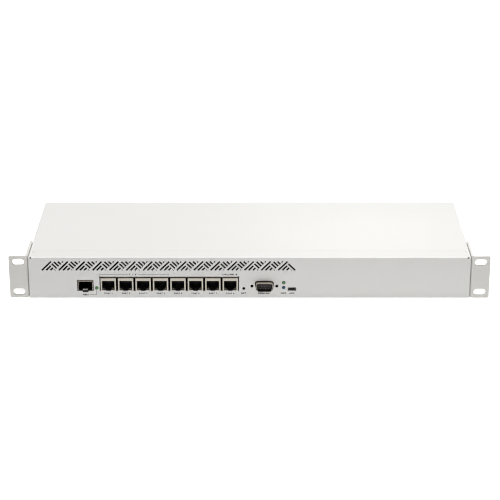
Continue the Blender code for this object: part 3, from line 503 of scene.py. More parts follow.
def d_shape(width, height, radius):
    """An outline of the D-shaped serial port, whose sides lean by ten degrees."""
    return flared(SERIAL_X, SERIAL_Z, width, height, height * tan(radians(10)), radius)


SERIAL_SCREWS = [(x, SERIAL_Z) for x in spread(2, 25.0, SERIAL_X)]


def herringbone():
    """The front vent's slots, each as the two ends of its centre line, across and up."""
    pitch = VENT_PERIOD / 4
    rising_limit = VENT_PERIOD - VENT_MARGIN
    falling_limit = rising_limit - VENT_SLOT / 2
    slots = []
    for period in range(VENT_PERIODS):
        left = VENT_LEFT + period * VENT_PERIOD
        last = period == VENT_PERIODS - 1
        for index in range(4):
            foot = index * pitch
            rise = (rising_limit - foot) / 2 if index else VENT_HEIGHT
            slots.append(((left + foot, 0.0), (left + foot + rise, rise)))
            across = VENT_PERIOD + index * pitch
            high = min(VENT_HEIGHT, (across - VENT_MARGIN) / 2)
            low = 0.0 if last else (across - falling_limit) / 2
            if not (last and index):
                slots.append(((left + across - high, high), (left + across - low, low)))
    return [[(x, VENT_BOTTOM + z) for x, z in slot] for slot in slots]


def slanted_row(left, right, bottom=12, top=28, rise=9.0):
    """Slanted slots side by side, each as the two ends of its centre line."""
    count = int((right - left - rise) / REAR_SLOT_PITCH) + 1
    feet = [left + REAR_SLOT_PITCH * step for step in range(count)]
    return [((foot, bottom), (foot + rise, top)) for foot in feet]


def slanted_disc(centre, radius, pitch):
    """Slots at 45 degrees that fill a circle."""
    slots = []
    count = int(radius / pitch)
    for index in range(-count, count + 1):
        away = index * pitch * sqrt(0.5)
        reach = sqrt(radius**2 - (index * pitch) ** 2) * sqrt(0.5)
        x, z = centre[0] + away, centre[1] - away
        slots.append(((x - reach, z - reach), (x + reach, z + reach)))
    return slots


# ---- Pieces ----
def coat(obj, material):
    obj.data.materials.clear()
    obj.data.materials.append(material)


def dress(obj, name, material, replaced=None, body=ROOT):
    """Makes an object a finished piece."""
    obj.name = name
    obj.data.name = name
    coat(obj, material)
    obj.data.shade_smooth()
    obj.data.set_sharp_from_angle(angle=radians(35))
    adjust(obj.modifiers.new("flat_faces", "WEIGHTED_NORMAL"), keep_sharp=True)
    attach(obj, body)
    if replaced:
        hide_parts(replaced)


def copies(master, name, material, places, node="", body=""):
    """Numbered copies of a mesh that share it, each with the CAD node and the body of its number, if any."""
    for number, place in enumerate(places, 1):
        obj = link(name, master.data)
        obj.matrix_world = place
        rides = f"{body}_{number}" if body else ROOT
        dress(obj, f"{name}_{number}", material, node and f"{node}_{number}", rides)
    remove(master)


def dress_block(node, name, material, width, tools=(), segments=2):
    """A softened block in a CAD node's place, less its tools."""
    low, high = span(node)
    dress(soften(cut(block(low, high), *tools), width, segments), name, material, node)


# ---- Casing ----
def ear_screw_bores(inner=214, sides=(-1, 1)):
    """Rods for the ears' screws, from inner outward."""
    return [
        rod((side * inner, FRONT + depth, height), (side * 230, FRONT + depth, height), BORE, 20)
        for side in sides for depth, height in EAR_SCREW_AT]


def port_openings():
    left, right, bottom, top = PORT_BANK
    cage_half, notch_half, notch_drop, cage_top = 8.3, 3.0, 1.4, 19.8
    notch = bottom - notch_drop
    fibre = [
        (SFP_X - cage_half, bottom), (SFP_X - notch_half, bottom), (SFP_X - notch_half, notch),
        (SFP_X + notch_half, notch), (SFP_X + notch_half, bottom), (SFP_X + cage_half, bottom),
        (SFP_X + cage_half, cage_top), (SFP_X - cage_half, cage_top)]
    serial_screws = [circle(screw, 1.6) for screw in SERIAL_SCREWS]
    lights = [middle(node) for node in LIGHTS]
    usb = rounded(centred(USB_X, USB_Z, 4.2, 1.8), 0.5)
    return [
        rectangle(left, right, bottom, top), fibre, circle((RESET_X, RESET_Z), 1.5), d_shape(*SERIAL_CUT),
        *serial_screws, *[circle((light.x, light.z), LED_RADIUS + 0.15) for light in lights], usb]


def make_front_panel():
    panel = folded(
        (-HALF_WIDTH, FRONT, 0), (HALF_WIDTH, PANEL_TOP_BACK, CASE_HEIGHT), "-Y +Z -Z -X +X")
    cut_front, cut_back = FRONT + PANEL_RETURN, FRONT + 40
    tools = [block((-OUTSIDE, cut_front, -5), (OUTSIDE, cut_back, TRAY_HIGH.z))]
    through = (FRONT - 3, FRONT + 4)
    left, right, _, bank_top = PORT_BANK
    inset = PORT_BANK_RELIEF / 2
    for side, x in ((-1, left + inset), (1, right - inset)):
        inner, outer = sorted((side * PANEL_TOP_HALF, side * OUTSIDE))
        tools.append(block((inner, cut_front, 35), (outer, cut_back, 60)))
        relief_x = side * CORNER_RELIEF_X
        start, end = (relief_x, FRONT - 2.0, CASE_HEIGHT + 2.0), (relief_x, FRONT + 3.5, CASE_HEIGHT - 3.5)
        tools.append(rod(start, end, CORNER_RELIEF, 16))
        tools.append(rod(*[(x, y, bank_top - inset) for y in through], PORT_BANK_RELIEF, 16))
    tools.append(prism([stadium(*slot, VENT_SLOT, 1) for slot in herringbone()], "Y", *through))
    tools.append(prism(port_openings(), "Y", *through))
    panel = soften(cut(panel, *tools, *ear_screw_bores()))
    dress(panel, "front_panel_shell", PAINT, "front_panel")


def make_top_cover():
    cover = folded(
        (-HALF_WIDTH, COVER_LOW.y, COVER_LOW.z), (HALF_WIDTH, REAR, CASE_HEIGHT), "+Z -X +X +Y")
    notch_half = PANEL_TOP_HALF + GAP
    tools = [block((-notch_half, FRONT, 41), (notch_half, PANEL_TOP_BACK + GAP, 60))]
    lip_foot, tab_foot, inner = CASE_HEIGHT - COVER_LIP - SHEET, CASE_HEIGHT - TAB_DROP, HALF_WIDTH - 3.0
    before, behind = REAR - 8, REAR + 5
    edges = [-inner, *[x + side * TAB_HALF for x in TAB_X for side in (-1, 1)], inner]
    for left, right in zip(edges[::2], edges[1::2]):
        tools.append(block((left, before, -5), (right, behind, lip_foot)))
    for x in TAB_X:
        tools.append(block((x - TAB_HALF - 1, before, -5), (x + TAB_HALF + 1, behind, tab_foot)))
        screw_z = CASE_HEIGHT - TAB_SCREW_DROP
        tools.append(rod((x, before - 2, screw_z), (x, behind, screw_z), BORE, 20))
    cover = soften(cut(cover, *tools, *ear_screw_bores()))
    dress(cover, "top_cover_shell", PAINT, "top_cover")


def make_base_tray():
    tray = folded(TRAY_LOW, TRAY_HIGH, "-Z -X +X +Y")
    tools = [
        block((side * 221 - 4, FRONT + 50, TRAY_SIDE), (side * 221 + 4, REAR - 16, 60)) for side in (-1, 1)]
    slots = [slot for fan in FAN_AT for slot in slanted_disc((fan.x, fan.z), 17.6, FAN_SLOT_PITCH)]
    slots += slanted_row(-20, 12) + slanted_row(112, 152)
    openings = [stadium(*slot, REAR_SLOT, 1) for slot in slots]
    openings.append(centred(INLET_X, INLET_Z, 13.9, 10.2))
    openings += [circle((x, CASE_HEIGHT - TAB_SCREW_DROP), BORE) for x in TAB_X]
    ground = middle("ground_screw")
    openings.append(circle((ground.x, ground.z), 2.3))
    tools.append(prism(openings, "Y", TRAY_REAR - 4, REAR + 4))
    tray = soften(cut(tray, *tools, *ear_screw_bores()))
    dress(tray, "base_tray_shell", PAINT, "base_tray")


def make_board_posts():
    """Posts under the two boards."""
    main, power = ((-188, -68, 50), (38, 116)), ((80, 206), (28, 128))  # places across and from the front
    posts = [at((x, FRONT + y, 0)) for columns, rows in (main, power) for x in columns for y in rows]
    top, rim, radius = BOARD_TOP - 1.9, BOARD_TOP - 2.4, 2.6
    post = turned([(0, top), (radius - 1.0, top), (radius, rim), (radius, SHEET), (0, SHEET)])
    copies(post, "board_post", ZINC, posts)


def make_ears():
    for side_name, side in (("left", -1), ("right", 1)):
        low, high = span(f"rack_ear_{side_name}")
        ear = folded(low, high, "-Y -X" if side > 0 else "-Y +X", EAR_SHEET, EAR_BEND, corner=1.6)
        slots = []
        for height in spread(2, RACK_SLOT_PITCH, (low.z + high.z) / 2):
            ends = [(x, height) for x in spread(2, RACK_SLOT_LENGTH, side * RACK_SLOT_X)]
            slots.append(stadium(*ends, RACK_SLOT_WIDTH, 16))
        ear = soften(cut(ear, prism(slots, "Y", FRONT - 5, FRONT + 8), *ear_screw_bores(218, (side,))), 0.2)
        # The ears take the darker copy of the coat: painted shade.
        dress(ear, f"rack_ear_{side_name}_shell", SHADED_EAR_PAINT, f"rack_ear_{side_name}")


def make_screws():
    """Pan-head screws with a cross recess, on the CAD screws' places."""
    head, shank, root, pitch, length = 2.9, 1.45, 1.23, 0.5, 8.0
    thread = []
    for turn in range(14):
        thread += [(shank, -0.4 - pitch * turn), (root, -0.65 - pitch * turn)]
    foot = [(head, 0.12), (head - 0.12, 0), (shank, 0), *thread, (1.0, -length), (0, -length)]
    arms = [block((-x, -y, 0.75), (x, y, 3.0)) for x, y in ((1.65, 0.32), (0.32, 1.65))]
    master = soften(cut(turned([*dome(head, 1.4, 0.5, 15), *foot]), *arms), 0.06, 1)
    nodes = [f"ear_screw_{side}_{number}" for side in ("left", "right") for number in (1, 2, 3)]
    nodes += [f"cover_screw_{number}" for number in (1, 2, 3)] + ["ground_screw"]
    for index, node in enumerate(nodes):
        low, high = span(node)
        seat = (low + high) / 2
        if "left" in node:
            seat.x, facing = high.x - length, (-1, 0, 0)
        elif "right" in node:
            seat.x, facing = low.x + length, (1, 0, 0)
        else:
            seat.y, facing = low.y + length, (0, 1, 0)
        turn = Vector(facing).to_track_quat("Z", "Y").to_matrix().to_4x4()
        obj = link(node, master.data)
        obj.matrix_world = at(seat) @ turn @ Matrix.Rotation(radians(37 * index), 4, "Z")
        dress(obj, node + "_fine", ZINC, node)
    remove(master)


# ---- Network ports ----
def make_network_ports():
    """The eight jacks, made at the origin: shell, insert, lower corner springs and contacts."""
    half = PORT_HALF
    shell = folded((-half, 0, 0), (half, PORT_DEPTH, PORT_HEIGHT), "-Y +Z -X +X +Y", 0.35, 0.6, steps=4)
    mouth = prism([rounded(rectangle(-6.35, 6.35, 0.9, 10.9), 0.35)], "Y", -2, 2)
    latch = prism([rounded(rectangle(-2.4, 2.4, -2, 2.0), 0.3)], "Y", -2, 2)
    shell = soften(cut(shell, mouth, latch), 0.09)

    low, high, insert_half, inset = 0.2, PORT_HEIGHT - 0.7, half - 0.7, 0.8
    insert = block((-insert_half, inset, low), (insert_half, PORT_DEPTH - inset, high))
    cavity = block((-5.95, -2, 2.6), (5.95, 14, 10.5))
    step = block((-3.4, -2, 1.7), (3.4, 13, 4))
    channel = block((-2.4, -2, low + 0.5), (2.4, 12, 4))
    insert = soften(cut(insert, cavity, step, channel), 0.12)

    bow = [(0.5, 1.9), (1.6, 2.45), (3.6, 2.75), (5.6, 2.65)]  # depth, height
    springs = unite(*[prism([strip(bow, 0, 0.2)], "X", x - 1, x + 1) for x in (-5.1, 5.1)])

    bent = [(13.9, 9.6), (11.0, 9.9), (6.5, 9.8), (5.2, 9.2), (7.5, 7.6), (11.5, 5.9)]  # depth, height
    contacts = joined([tube(smooth_path([(x, y, z) for y, z in bent]), 0.17, 2) for x in spread(8, 1.02)])

    places = [at((x, PORT_FRONT, PORT_FOOT)) for x in PORT_X]
    copies(shell, "jack_shell", TIN, places, "port_shield")
    copies(insert, "jack_insert", BLACK, places, "port_insert")
    copies(springs, "jack_spring", TIN, places)
    copies(contacts, "jack_contacts", GOLD, places)
    left, right, _, top = PORT_BANK
    foot, front = PORT_FOOT + PORT_HEIGHT + 0.15, FRONT + SHEET + 0.2
    # The ground strip is in the darkened cage metal: painted shade in the gap above the jacks.
    ground_strip = block((left + 0.2, front, foot), (right - 0.2, front + 0.3, top + 0.4))
    dress(soften(ground_strip, 0.05, 1), "jack_ground_strip", SHADED_CAGE)


# ---- Fibre port ----
def make_fibre_port():
    low, high = span("fibre_cage")
    x, foot, front = SFP_X, low.z, low.y
    half, height = 7.2, 10.2
    # The cage and its collar are in the darkened cage metal: painted shade.
    cage = folded(
        (x - half, front + 0.4, foot), (x + half, high.y, foot + height), "-Z +Z -X +X +Y", 0.4, 0.7,
        steps=4)
    window = block((x - 6, FRONT + 32, 0), (x + 6, FRONT + 44, foot + 3))
    under_latch = (x - 3, FRONT - 3, 0), (x + 3, FRONT + 6, foot + 0.7)
    cage = soften(cut(cage, window, block(*under_latch)), 0.08)
    dress(cage, "fibre_cage_sheet", SHADED_CAGE, "fibre_cage")

    ring_out = rounded(rectangle(x - 8.0, x + 8.0, foot, foot + 11.4), 1.0)
    ring_in = rounded(rectangle(x - 7.3, x + 7.3, foot + 0.35, foot + 10.4), 0.7)
    collar = cut(prism([ring_out, ring_in], "Y", front + 1.2, front + 1.6), block(*under_latch))
    dress(soften(collar, 0.06, 1), "fibre_collar", SHADED_CAGE)

    # Bowed fingers: five on the cage's top, and three on each side
    bow = [(0.0, 0.0), (0.5, 0.5), (1.2, 0.8), (2.2, 0.55), (3.2, 0.05)]  # depth, stand-off
    thick, sunk = 0.18, 0.15
    fingers = []
    for across in spread(5, 2.8, x):
        line = [(front + depth, foot + height + off) for depth, off in bow]
        fingers.append(prism([strip(line, 0, thick)], "X", across - 1.05, across + 1.05))
    for side in (-1, 1):
        line = [(x + side * (half + off - sunk), front + depth) for depth, off in bow]
        for up in spread(3, 3.0, foot + 5.0):
            fingers.append(prism([strip(line, side * thick, 0)], "Z", up - 1.1, up + 1.1))
    dress(joined(fingers), "fibre_spring_fingers", TIN)

    # The latch is one bent tab. Its lip is in a light moulding, painted light where the tab is lit, and its
    # arm is black, painted shade where it runs back into the cage.
    lip = [(-0.9, 1.85), (-0.1, 2.4), (0.05, 2.25), (-0.75, 1.65)]  # depth, height
    arm = [(-0.2, 2.25), (0.1, 2.25), (0.9, 0.2), (0.6, 0.2)]
    for name, outline, material in (("fibre_latch_tab_painted_light", lip, PAINTED_LIGHT_MOULDING), ("fibre_latch_arm_painted_shade", arm, BLACK)):
        bent = prism([[(FRONT + depth, foot + height) for depth, height in outline]], "X", x - 2.4, x + 2.4)
        dress(soften(bent, 0.03, 1), name, material)
    # A black block under the latch notch: painted shade.
    shade_well = block((x - 2.9, FRONT + 1.4, foot - 1.3), (x + 2.9, FRONT + 6.0, foot - 0.1))
    dress(soften(shade_well, 0.1), "fibre_latch_shade_well", BLACK)

    low, _ = span("fibre_connector")
    mouth = block((x - 4.6, low.y - 2, low.z + 1.8), (x + 4.6, low.y + 6, low.z + 3.2))
    dress_block("fibre_connector", "fibre_connector_body", BLACK, 0.15, [mouth])


def make_lights():
    """Domed light pipes, each in a black sleeve."""
    radius, length, wall = LED_RADIUS, 9.0, 0.2
    lens = radius - wall
    rim, back = -0.45, -length
    sleeve = [(lens, rim), (radius, rim), (radius, back), (lens, back), (lens, rim)]
    for node, material in LIGHTS.items():
        centre, tip = middle(node), span(node)[0].y
        place = facing_front((centre.x, tip, centre.z))
        pipe = turned([*dome(lens, lens / 2, -lens / 2, 10), (lens - 0.02, back), (0, back)], 32, place)
        dress(pipe, node + "_pipe", material, node)
        dress(turned(sleeve, 32, place), node + "_sleeve", BLACK)


# ---- Serial port ----
def make_serial_port():
    x, z, flange = SERIAL_X, SERIAL_Z, FRONT + SHEET + GAP
    inner = d_shape(16.9, 8.4, 1.9)
    shell = prism([d_shape(17.7, 9.2, 2.3), inner], "Y", SERIAL_TIP, flange + 0.4)
    dress(soften(shell, 0.12), "serial_shell_rim", SATIN_TIN, "serial_shell")
    plate = [rounded(centred(x, z, 15.4, 6.2), 1.0), inner, *[circle(screw, 1.4) for screw in SERIAL_SCREWS]]
    # The flange and its nuts are in the near-black nickel: painted shade.
    dress(soften(prism(plate, "Y", flange, flange + 0.8), 0.1), "serial_flange", SHADED_NICKEL)
    nuts = [[circle(screw, 2.4, 6), circle(screw, 1.3)] for screw in SERIAL_SCREWS]
    dress(joined([prism(nut, "Y", flange + 0.85, flange + 4.0) for nut in nuts]), "serial_nuts", SHADED_NICKEL)

    # A black sleeve inside the shell: painted shade, standing in for the shadow in the shell's bare metal
    # interior.
    painted_shade_liner = prism([d_shape(16.88, 8.38, 1.9), d_shape(16.5, 8.0, 1.7)], "Y", SERIAL_TIP + 0.7, FRONT - 0.3)
    dress(soften(painted_shade_liner, 0.05, 1), "serial_shell_painted_shade", BLACK)
    insulator = prism([d_shape(16.3, 7.8, 1.6)], "Y", FRONT - 0.2, FRONT + 9.0)
    dress(soften(insulator, 0.12), "serial_insulator_block", BLACK, "serial_insulator")
    radius, pitch, length, pins = 0.48, 2.77, 5.0, []
    profile = [*dome(radius, radius, -radius, 18), (radius, -length), (0, -length)]
    for count, up in ((5, 1.42), (4, -1.42)):
        for across in spread(count, pitch, x):
            pins.append(solid(turned(profile, 16, facing_front((across, FRONT - 3.7, z + up)))))
    dress(joined(pins), "serial_pins", PIN)


# ---- Small port and reset ----
def usb_outline(inset):
    return flared(USB_X, USB_Z, 7.6 - 2 * inset, 2.9 - 2 * inset, 0.8, 0.35)


def make_usb_port():
    low, high = span("usb_shell")
    shell = prism([usb_outline(0.0), usb_outline(0.3)], "Y", low.y, high.y - 0.4)
    back = prism([usb_outline(0.0)], "Y", high.y - 0.6, high.y)
    # The shell is in the darkened cage metal: painted shade.
    dress(soften(unite(shell, back), 0.06), "usb_shell_sheet", SHADED_CAGE, "usb_shell")
    dress_block("usb_tongue", "usb_tongue_block", BLACK, 0.1)
    low, high = span("usb_tongue")
    contacts = [
        block((x - 0.15, low.y + 0.3, low.z - 0.08), (x + 0.15, high.y, low.z - 0.01))
        for x in spread(5, 0.65, USB_X)]
    dress(joined(contacts), "usb_contacts", GOLD)


def make_reset_button():
    face = span("reset_switch")[0].y
    bore = rod((RESET_X, face - 3, RESET_Z), (RESET_X, face + 4.5, RESET_Z), 1.45, 32)
    dress_block("reset_switch", "reset_switch_body", BLACK, 0.15, [bore])
    low, high = span("reset_plunger")
    length, radius = high.y - low.y, 1.15
    profile = [
        (0, 0), (0.7, -0.02), (1.0, -0.12), (radius, -0.35), (radius, -length + 0.15),
        (radius - 0.15, -length), (0, -length)]
    plunger = turned(profile, 32, facing_front((RESET_X, low.y, RESET_Z)))
    dress(plunger, "reset_plunger_cap", BLACK, "reset_plunger", "reset_button")


# ---- Print on the panel ----
def lettering(text, x, z, width, height=1.7):
    """Letters printed flat on the front panel, centred on x and z and drawn to the width."""
    obj = link("lettering", adjust(
        bpy.data.curves.new("lettering", "FONT"), body=text, align_x="CENTER", align_y="CENTER", size=1.0,
        extrude=0.004, offset=0.065, space_character=1.35, resolution_u=3))
    bpy.context.view_layer.update()
    size = obj.dimensions
    obj.rotation_euler = (radians(90), 0, 0)
    obj.scale = (width * MM / size.x, height * MM / size.y, MM)
    obj.location = Vector((x, FRONT - 0.008, z)) * MM
    return solid(obj)


def printed_line(*points):
    """A printed line along level and upright runs."""
    half, runs = 0.14, []
    for first, second in zip(points, points[1:]):
        (left, right), (foot, top) = [sorted(pair) for pair in zip(first, second)]
        low, high = (left - half, FRONT - 0.012, foot - half), (right + half, FRONT - 0.004, top + half)
        runs.append(block(low, high))
    return runs


def make_print():
    under_jacks, under, over = 5.15, 5.3, 25.7  # heights of the words
    marks = [lettering(f"PORT {number}", x, under_jacks, 8.0) for number, x in enumerate(PORT_X, 1)]
    for text, x, z, width in (
        ("FIBRE", SFP_X, 3.8, 5.6), ("RST", RESET_X - 0.2, under, 4.6),
        ("SERIAL", SERIAL_X - 0.4, under, 12.0), ("PWR", 34.1, under + 0.05, 5.4),
        ("AUX", USB_X - 0.2, under + 0.05, 5.4), ("1 - 4", -117.4, over, 7.0),
        ("UPLINK 8", PORT_X[7] - 0.5, over - 0.1, 14.6)):
        marks.append(lettering(text, x, z, width))
    for start, end, ticked in ((-150.8, -122.6, -150.8), (-112.2, -81.0, -81.0)):
        marks += printed_line((start, over), (end, over)) + printed_line((ticked, over), (ticked, over - 0.9))
    light = middle("fibre_light")
    x, foot = light.x - 0.4, 3.98
    marks += printed_line((x, light.z - 3.0), (x, foot), (-161.2, foot))
    dress(joined(marks), "panel_print", INK)


# ---- Fans ----
def make_fans():
    half, bore, hub, back, flange = 20.0, 18.9, 11.0, 10.0, 3.0
    corners = [circle((x, z), 1.7) for x in (-16, 16) for z in (-16, 16)]
    outline = rounded(centred(0, 0, half, half), 3.0)
    bore_outline = circle((0, 0), bore, 64)
    flanges = [prism([outline, bore_outline, *corners], "Y", y, y + flange) for y in (-back, back - flange)]
    drum = prism([circle((0, 0), half - 0.1, 64), bore_outline], "Y", -back + 2.9, back - 2.9)
    base = rod((0, back - 2.6, 0), (0, back - 0.3, 0), hub, 48)
    struts = []
    for angle in (45, 135, 225, 315):
        strut = block((-0.8, back - 2.2, hub - 1), (0.8, back - 0.6, bore + 0.6))
        strut.matrix_world = Matrix.Rotation(radians(angle), 4, "Y")
        struts.append(solid(strut))
    housing = soften(unite(flanges[0], drum, flanges[1], base, *struts), 0.2)

    front, rear = -back + 1.5, back - 3.2
    top = rear - front
    cup = turned(
        [(0, top), (hub - 1.4, top), (hub - 0.4, top - 0.4), (hub, top - 1.4), (hub, 0), (0, 0)], 64,
        facing_front((0, rear, 0)))
    turns = [2 * pi * index / 7 for index in range(7)]
    rotor = unite(solid(cup), *[fan_blade(turn, hub - 0.5, 17.9, front + 1.2, rear - 1.0) for turn in turns])
    label = rod((0, back - 0.29, 0), (0, back - 0.22, 0), hub - 2.5, 48)
    places = [at(fan) for fan in FAN_AT]
    copies(housing, "fan_housing", BLACK, places, "fan_frame")
    copies(rotor, "fan_blades", CHIP, places, "fan_rotor", "fan")
    copies(label, "fan_label", LABEL, places)
    for number, fan in enumerate(FAN_AT, 1):
        route = [(-14, -22.6, 4), (-15, -26, 8), (-13, -34, 12), (-10, -44, 9.2)]  # from the fan and the rear
        wire = smooth_path([(fan.x + x, TRAY_REAR + y, z) for x, y, z in route])
        for offset, material, colour in ((0, WIRE_LIVE, "brown"), (1.3, BLACK, "black")):
            lead = tube([point + Vector((offset, 0, 0)) for point in wire], 0.55)
            dress(lead, f"fan_lead_{colour}_{number}", material)


def fan_blade(turn, inner, outer, front, rear, radial=5, chord=8):
    """A thin swept blade: pitched more at its root than at its tip, and bowed along its chord."""
    bm = bmesh.new()
    rows = []
    for i in range(radial + 1):
        out = i / radial
        radius, sweep, row = inner + (outer - inner) * out, radians(34 + 8 * out), []
        for j in range(chord + 1):
            t = j / chord
            angle = turn + sweep * (t - 0.5) + radians(7) * out
            y = front + (rear - front) * t**1.25
            row.append(bm.verts.new((radius * sin(angle) * MM, y * MM, radius * cos(angle) * MM)))
        rows.append(row)
    for lower, upper in zip(rows, rows[1:]):
        for a, b, c, d in zip(lower, lower[1:], upper[1:], upper):
            bm.faces.new((a, b, c, d))
    return modify(link_bmesh(bm), "SOLIDIFY", thickness=1.0 * MM, offset=0.0)


# ---- Inside ----
def make_mains_inlet():
    x, z, mouth = INLET_X, INLET_Z, INLET_MOUTH
    low, _ = span("mains_inlet")
    body = block((x - 13.5, low.y, z - 9.8), (x + 13.5, mouth - 0.5, z + 9.8))
    rim = prism([rounded(centred(x, z, 15.5, 11.6), 1.5)], "Y", TRAY_REAR + GAP, mouth)
    left, right, bottom, top, chamfer = x - 11.8, x + 11.8, z - 8.0, z + 8.0, 4.72
    recess = [
        (left, bottom), (right, bottom), (right, top - chamfer), (right - chamfer, top),
        (left + chamfer, top), (left, top - chamfer)]
    inlet = cut(unite(body, rim), prism([rounded(recess, 0.8)], "Y", mouth - 17.0, mouth + 4))
    dress(soften(inlet, 0.3, 3), "mains_inlet_body", BLACK, "mains_inlet")
    for node in ("mains_pin_live", "mains_pin_neutral", "mains_pin_earth"):
        dress_block(node, node + "_blade", PIN, 0.45, segments=3)


def on_board(x, y, width, depth, height):
    """A part on the board, by its centre and size."""
    foot, y = BOARD_TOP + 0.06, FRONT + y
    return block((x - width / 2, y - depth / 2, foot), (x + width / 2, y + depth / 2, foot + height))


def make_boards():
    for node, material in (("main_board", BOARD), ("power_board", BOARD), ("memory_module", MEMORY)):
        coat(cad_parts[node], material)
    chips = [on_board(x, *place_and_size) for columns, *place_and_size in (
        ((-124, -89, -54, -19), 33, 13, 13, 1.6), ((-150, -130), 112, 10, 14, 1.2), ((20,), 40, 9, 9, 1.4),
        ((34,), 62, 16, 12, 2.0), ((10,), 92, 12, 8, 1.6), ((-165, -158, -151), 66, 4, 6, 1.1))
        for x in columns]
    dress(soften(joined(chips), 0.2), "board_chips", CHIP)
    coils = [on_board(x, y, 8, 8, 5.0) for x, y in ((-150, 84), (-138, 84), (-42, 74), (-10, 62), (-10, 74))]
    dress(soften(joined(coils), 1.0, 3), "board_coils", FERRITE)
    can = [(0, 8.2), (2.7, 8.2), (3.1, 7.8), (3.1, 1.6), (2.9, 1.3), (3.1, 1.0), (3.1, 0.1), (0, 0.1)]
    cans = []
    for x, y in ((-160, 98), (-148, 98), (-2, 100), (8, 108), (20, 108), (34, 90), (46, 90), (46, 104)):
        cans.append(solid(turned(can, 24, at((x, FRONT + y, BOARD_TOP)))))
    dress(joined(cans), "board_capacitors", ALUMINIUM)

    low, high = span("memory_module")
    socket = block((low.x - 2.5, low.y - 4, BOARD_TOP + 0.06), (high.x + 2.5, high.y + 4, BOARD_TOP + 6))
    groove = block((low.x - 0.2, low.y - 0.3, BOARD_TOP + 0.2), (high.x + 0.2, high.y + 0.3, BOARD_TOP + 9))
    dress(soften(cut(socket, groove), 0.3), "memory_socket", BLACK)
    chips = []
    for left, right in ((low.x - 1.1, low.x - 0.03), (high.x + 0.03, high.x + 1.1)):
        for y in spread(4, 14, low.y + 30):
            chips.append(block((left, y - 4.5, BOARD_TOP + 10), (right, y + 4.5, BOARD_TOP + 21)))
    dress(soften(joined(chips), 0.15), "memory_chips", CHIP)


def make_processor():
    dress_block("processor", "processor_package", CHIP, 0.3)
    low, high = span("processor_heatsink")
    fins, fin, base, shoulder, slope = 15, 1.4, 4.0, 0.4, 0.3
    pitch = (high.x - low.x - fin) / (fins - 1)
    foot, neck, top = low.z + base, high.z - shoulder, high.z
    outline = [(low.x, low.z), (high.x, low.z)]
    for index in range(fins - 1, -1, -1):
        left = low.x + index * pitch
        right = left + fin
        outline += [(right, foot), (right, neck), (right - slope, top)]
        outline += [(left + slope, top), (left, neck), (left, foot)]
    del outline[2], outline[-1]
    dress(prism([outline], "Y", low.y, high.y), "processor_heatsink_fins", ALUMINIUM, "processor_heatsink")


def make_power_supply():
    low, high = span("power_transformer")
    x, y, _ = middle("power_transformer")
    core = block((x - 15, y - 14, low.z + 4), (x + 15, y + 14, low.z + 22))
    dress(soften(core, 0.5), "transformer_core", FERRITE, "power_transformer")
    winding = [
        block((x - 10, coil - 2.45, low.z), (x + 10, coil + 2.45, high.z)) for coil in spread(2, 33.1, y)]
    dress(soften(joined(winding), 1.2, 4), "transformer_winding", TAPE)

    low, high = span("power_capacitor")
    centre, radius, height = (low + high) / 2, (high.x - low.x) / 2, high.z - low.z
    profile = [
        (0, height - 0.8), (radius - 2.2, height - 0.8), (radius - 1.8, height), (radius - 0.7, height),
        (radius, height - 0.7), (radius, 3.2), (radius - 0.6, 2.5), (radius, 1.8), (radius, 0.3),
        (radius - 0.3, 0), (0, 0)]
    can = turned(profile, 48, at((centre.x, centre.y, low.z)))
    dress(can, "power_capacitor_can", SLEEVE, "power_capacitor")

    low, high = span("power_heatsink")
    plate = block(low, (low.x + 2.5, high.y, high.z))
    shelf = block((low.x + 1, low.y, high.z - 3), high)
    dress(soften(unite(plate, shelf), 0.5), "power_heatsink_bracket", ALUMINIUM, "power_heatsink")
    foot, top = BOARD_TOP + 0.1, BOARD_TOP + 10
    films = [block((x, FRONT + 40, foot), (x + 8, FRONT + 54, top)) for x in (86, 98, 110)]
    dress(soften(joined(films), 0.8, 3), "power_film_capacitors", TAPE)
    foot, top = BOARD_TOP + 4, BOARD_TOP + 19
    chips = [block((140, FRONT + y, foot), (147.7, FRONT + y + 10, top)) for y in (50, 66, 82)]
    dress(soften(joined(chips), 0.3), "power_transistors", CHIP)


def make_leads():
    """The bundles of wires inside, each wire beside the next."""
    foot = BOARD_TOP + GAP + 2.4
    x, y, z = INLET_X, INLET_MOUTH - 27.3, INLET_Z
    mains = [(x - 4, y, z), (x - 5, y - 6, z - 2), (x - 6, y - 14, z - 8), (x - 7, y - 26, foot)]
    y = FRONT + 60
    low_voltage = [(82, y, foot), (73, y, foot + 6), (61, y, foot + 6), (50, y, foot)]
    for name, route, across, jackets in (
        ("mains", mains, Vector((1, 0, 0)), (WIRE_LIVE, WIRE_NEUTRAL, WIRE_EARTH)),
        ("low_voltage", low_voltage, Vector((0, 1, 0)), (BLACK, WIRE_LIVE, BLACK))):
        path = smooth_path(route, 10)
        for index, material in enumerate(jackets):
            shift = across * (index - 1) * 1.35
            wire = tube([point + shift for point in path], 0.62, 4)
            dress(wire, f"{name}_wire_{index + 1}", material, None if index else f"{name}_leads")


# ---- Studio ----
WORLD, OVERHEAD, POOL, SIDE, FACE = 0.12, 38.5, 10.5, 3.0, 5.6
GLOW_AROUND, GLOW_FAR, GLOW_CLOSE = 0.3, 0.8, 0.44  # round the case, far off, and added close to its front


def ramp(tree, place, start, end, low, high):
    """A value that goes smoothly from low to high between two places."""
    return rescaled(tree, place, start * MM, end * MM, low, high, interpolation_type="SMOOTHSTEP")


def calculate(tree, operation, *sources):
    return shade(tree, "Math", "Value", dict(enumerate(sources)), operation=operation)


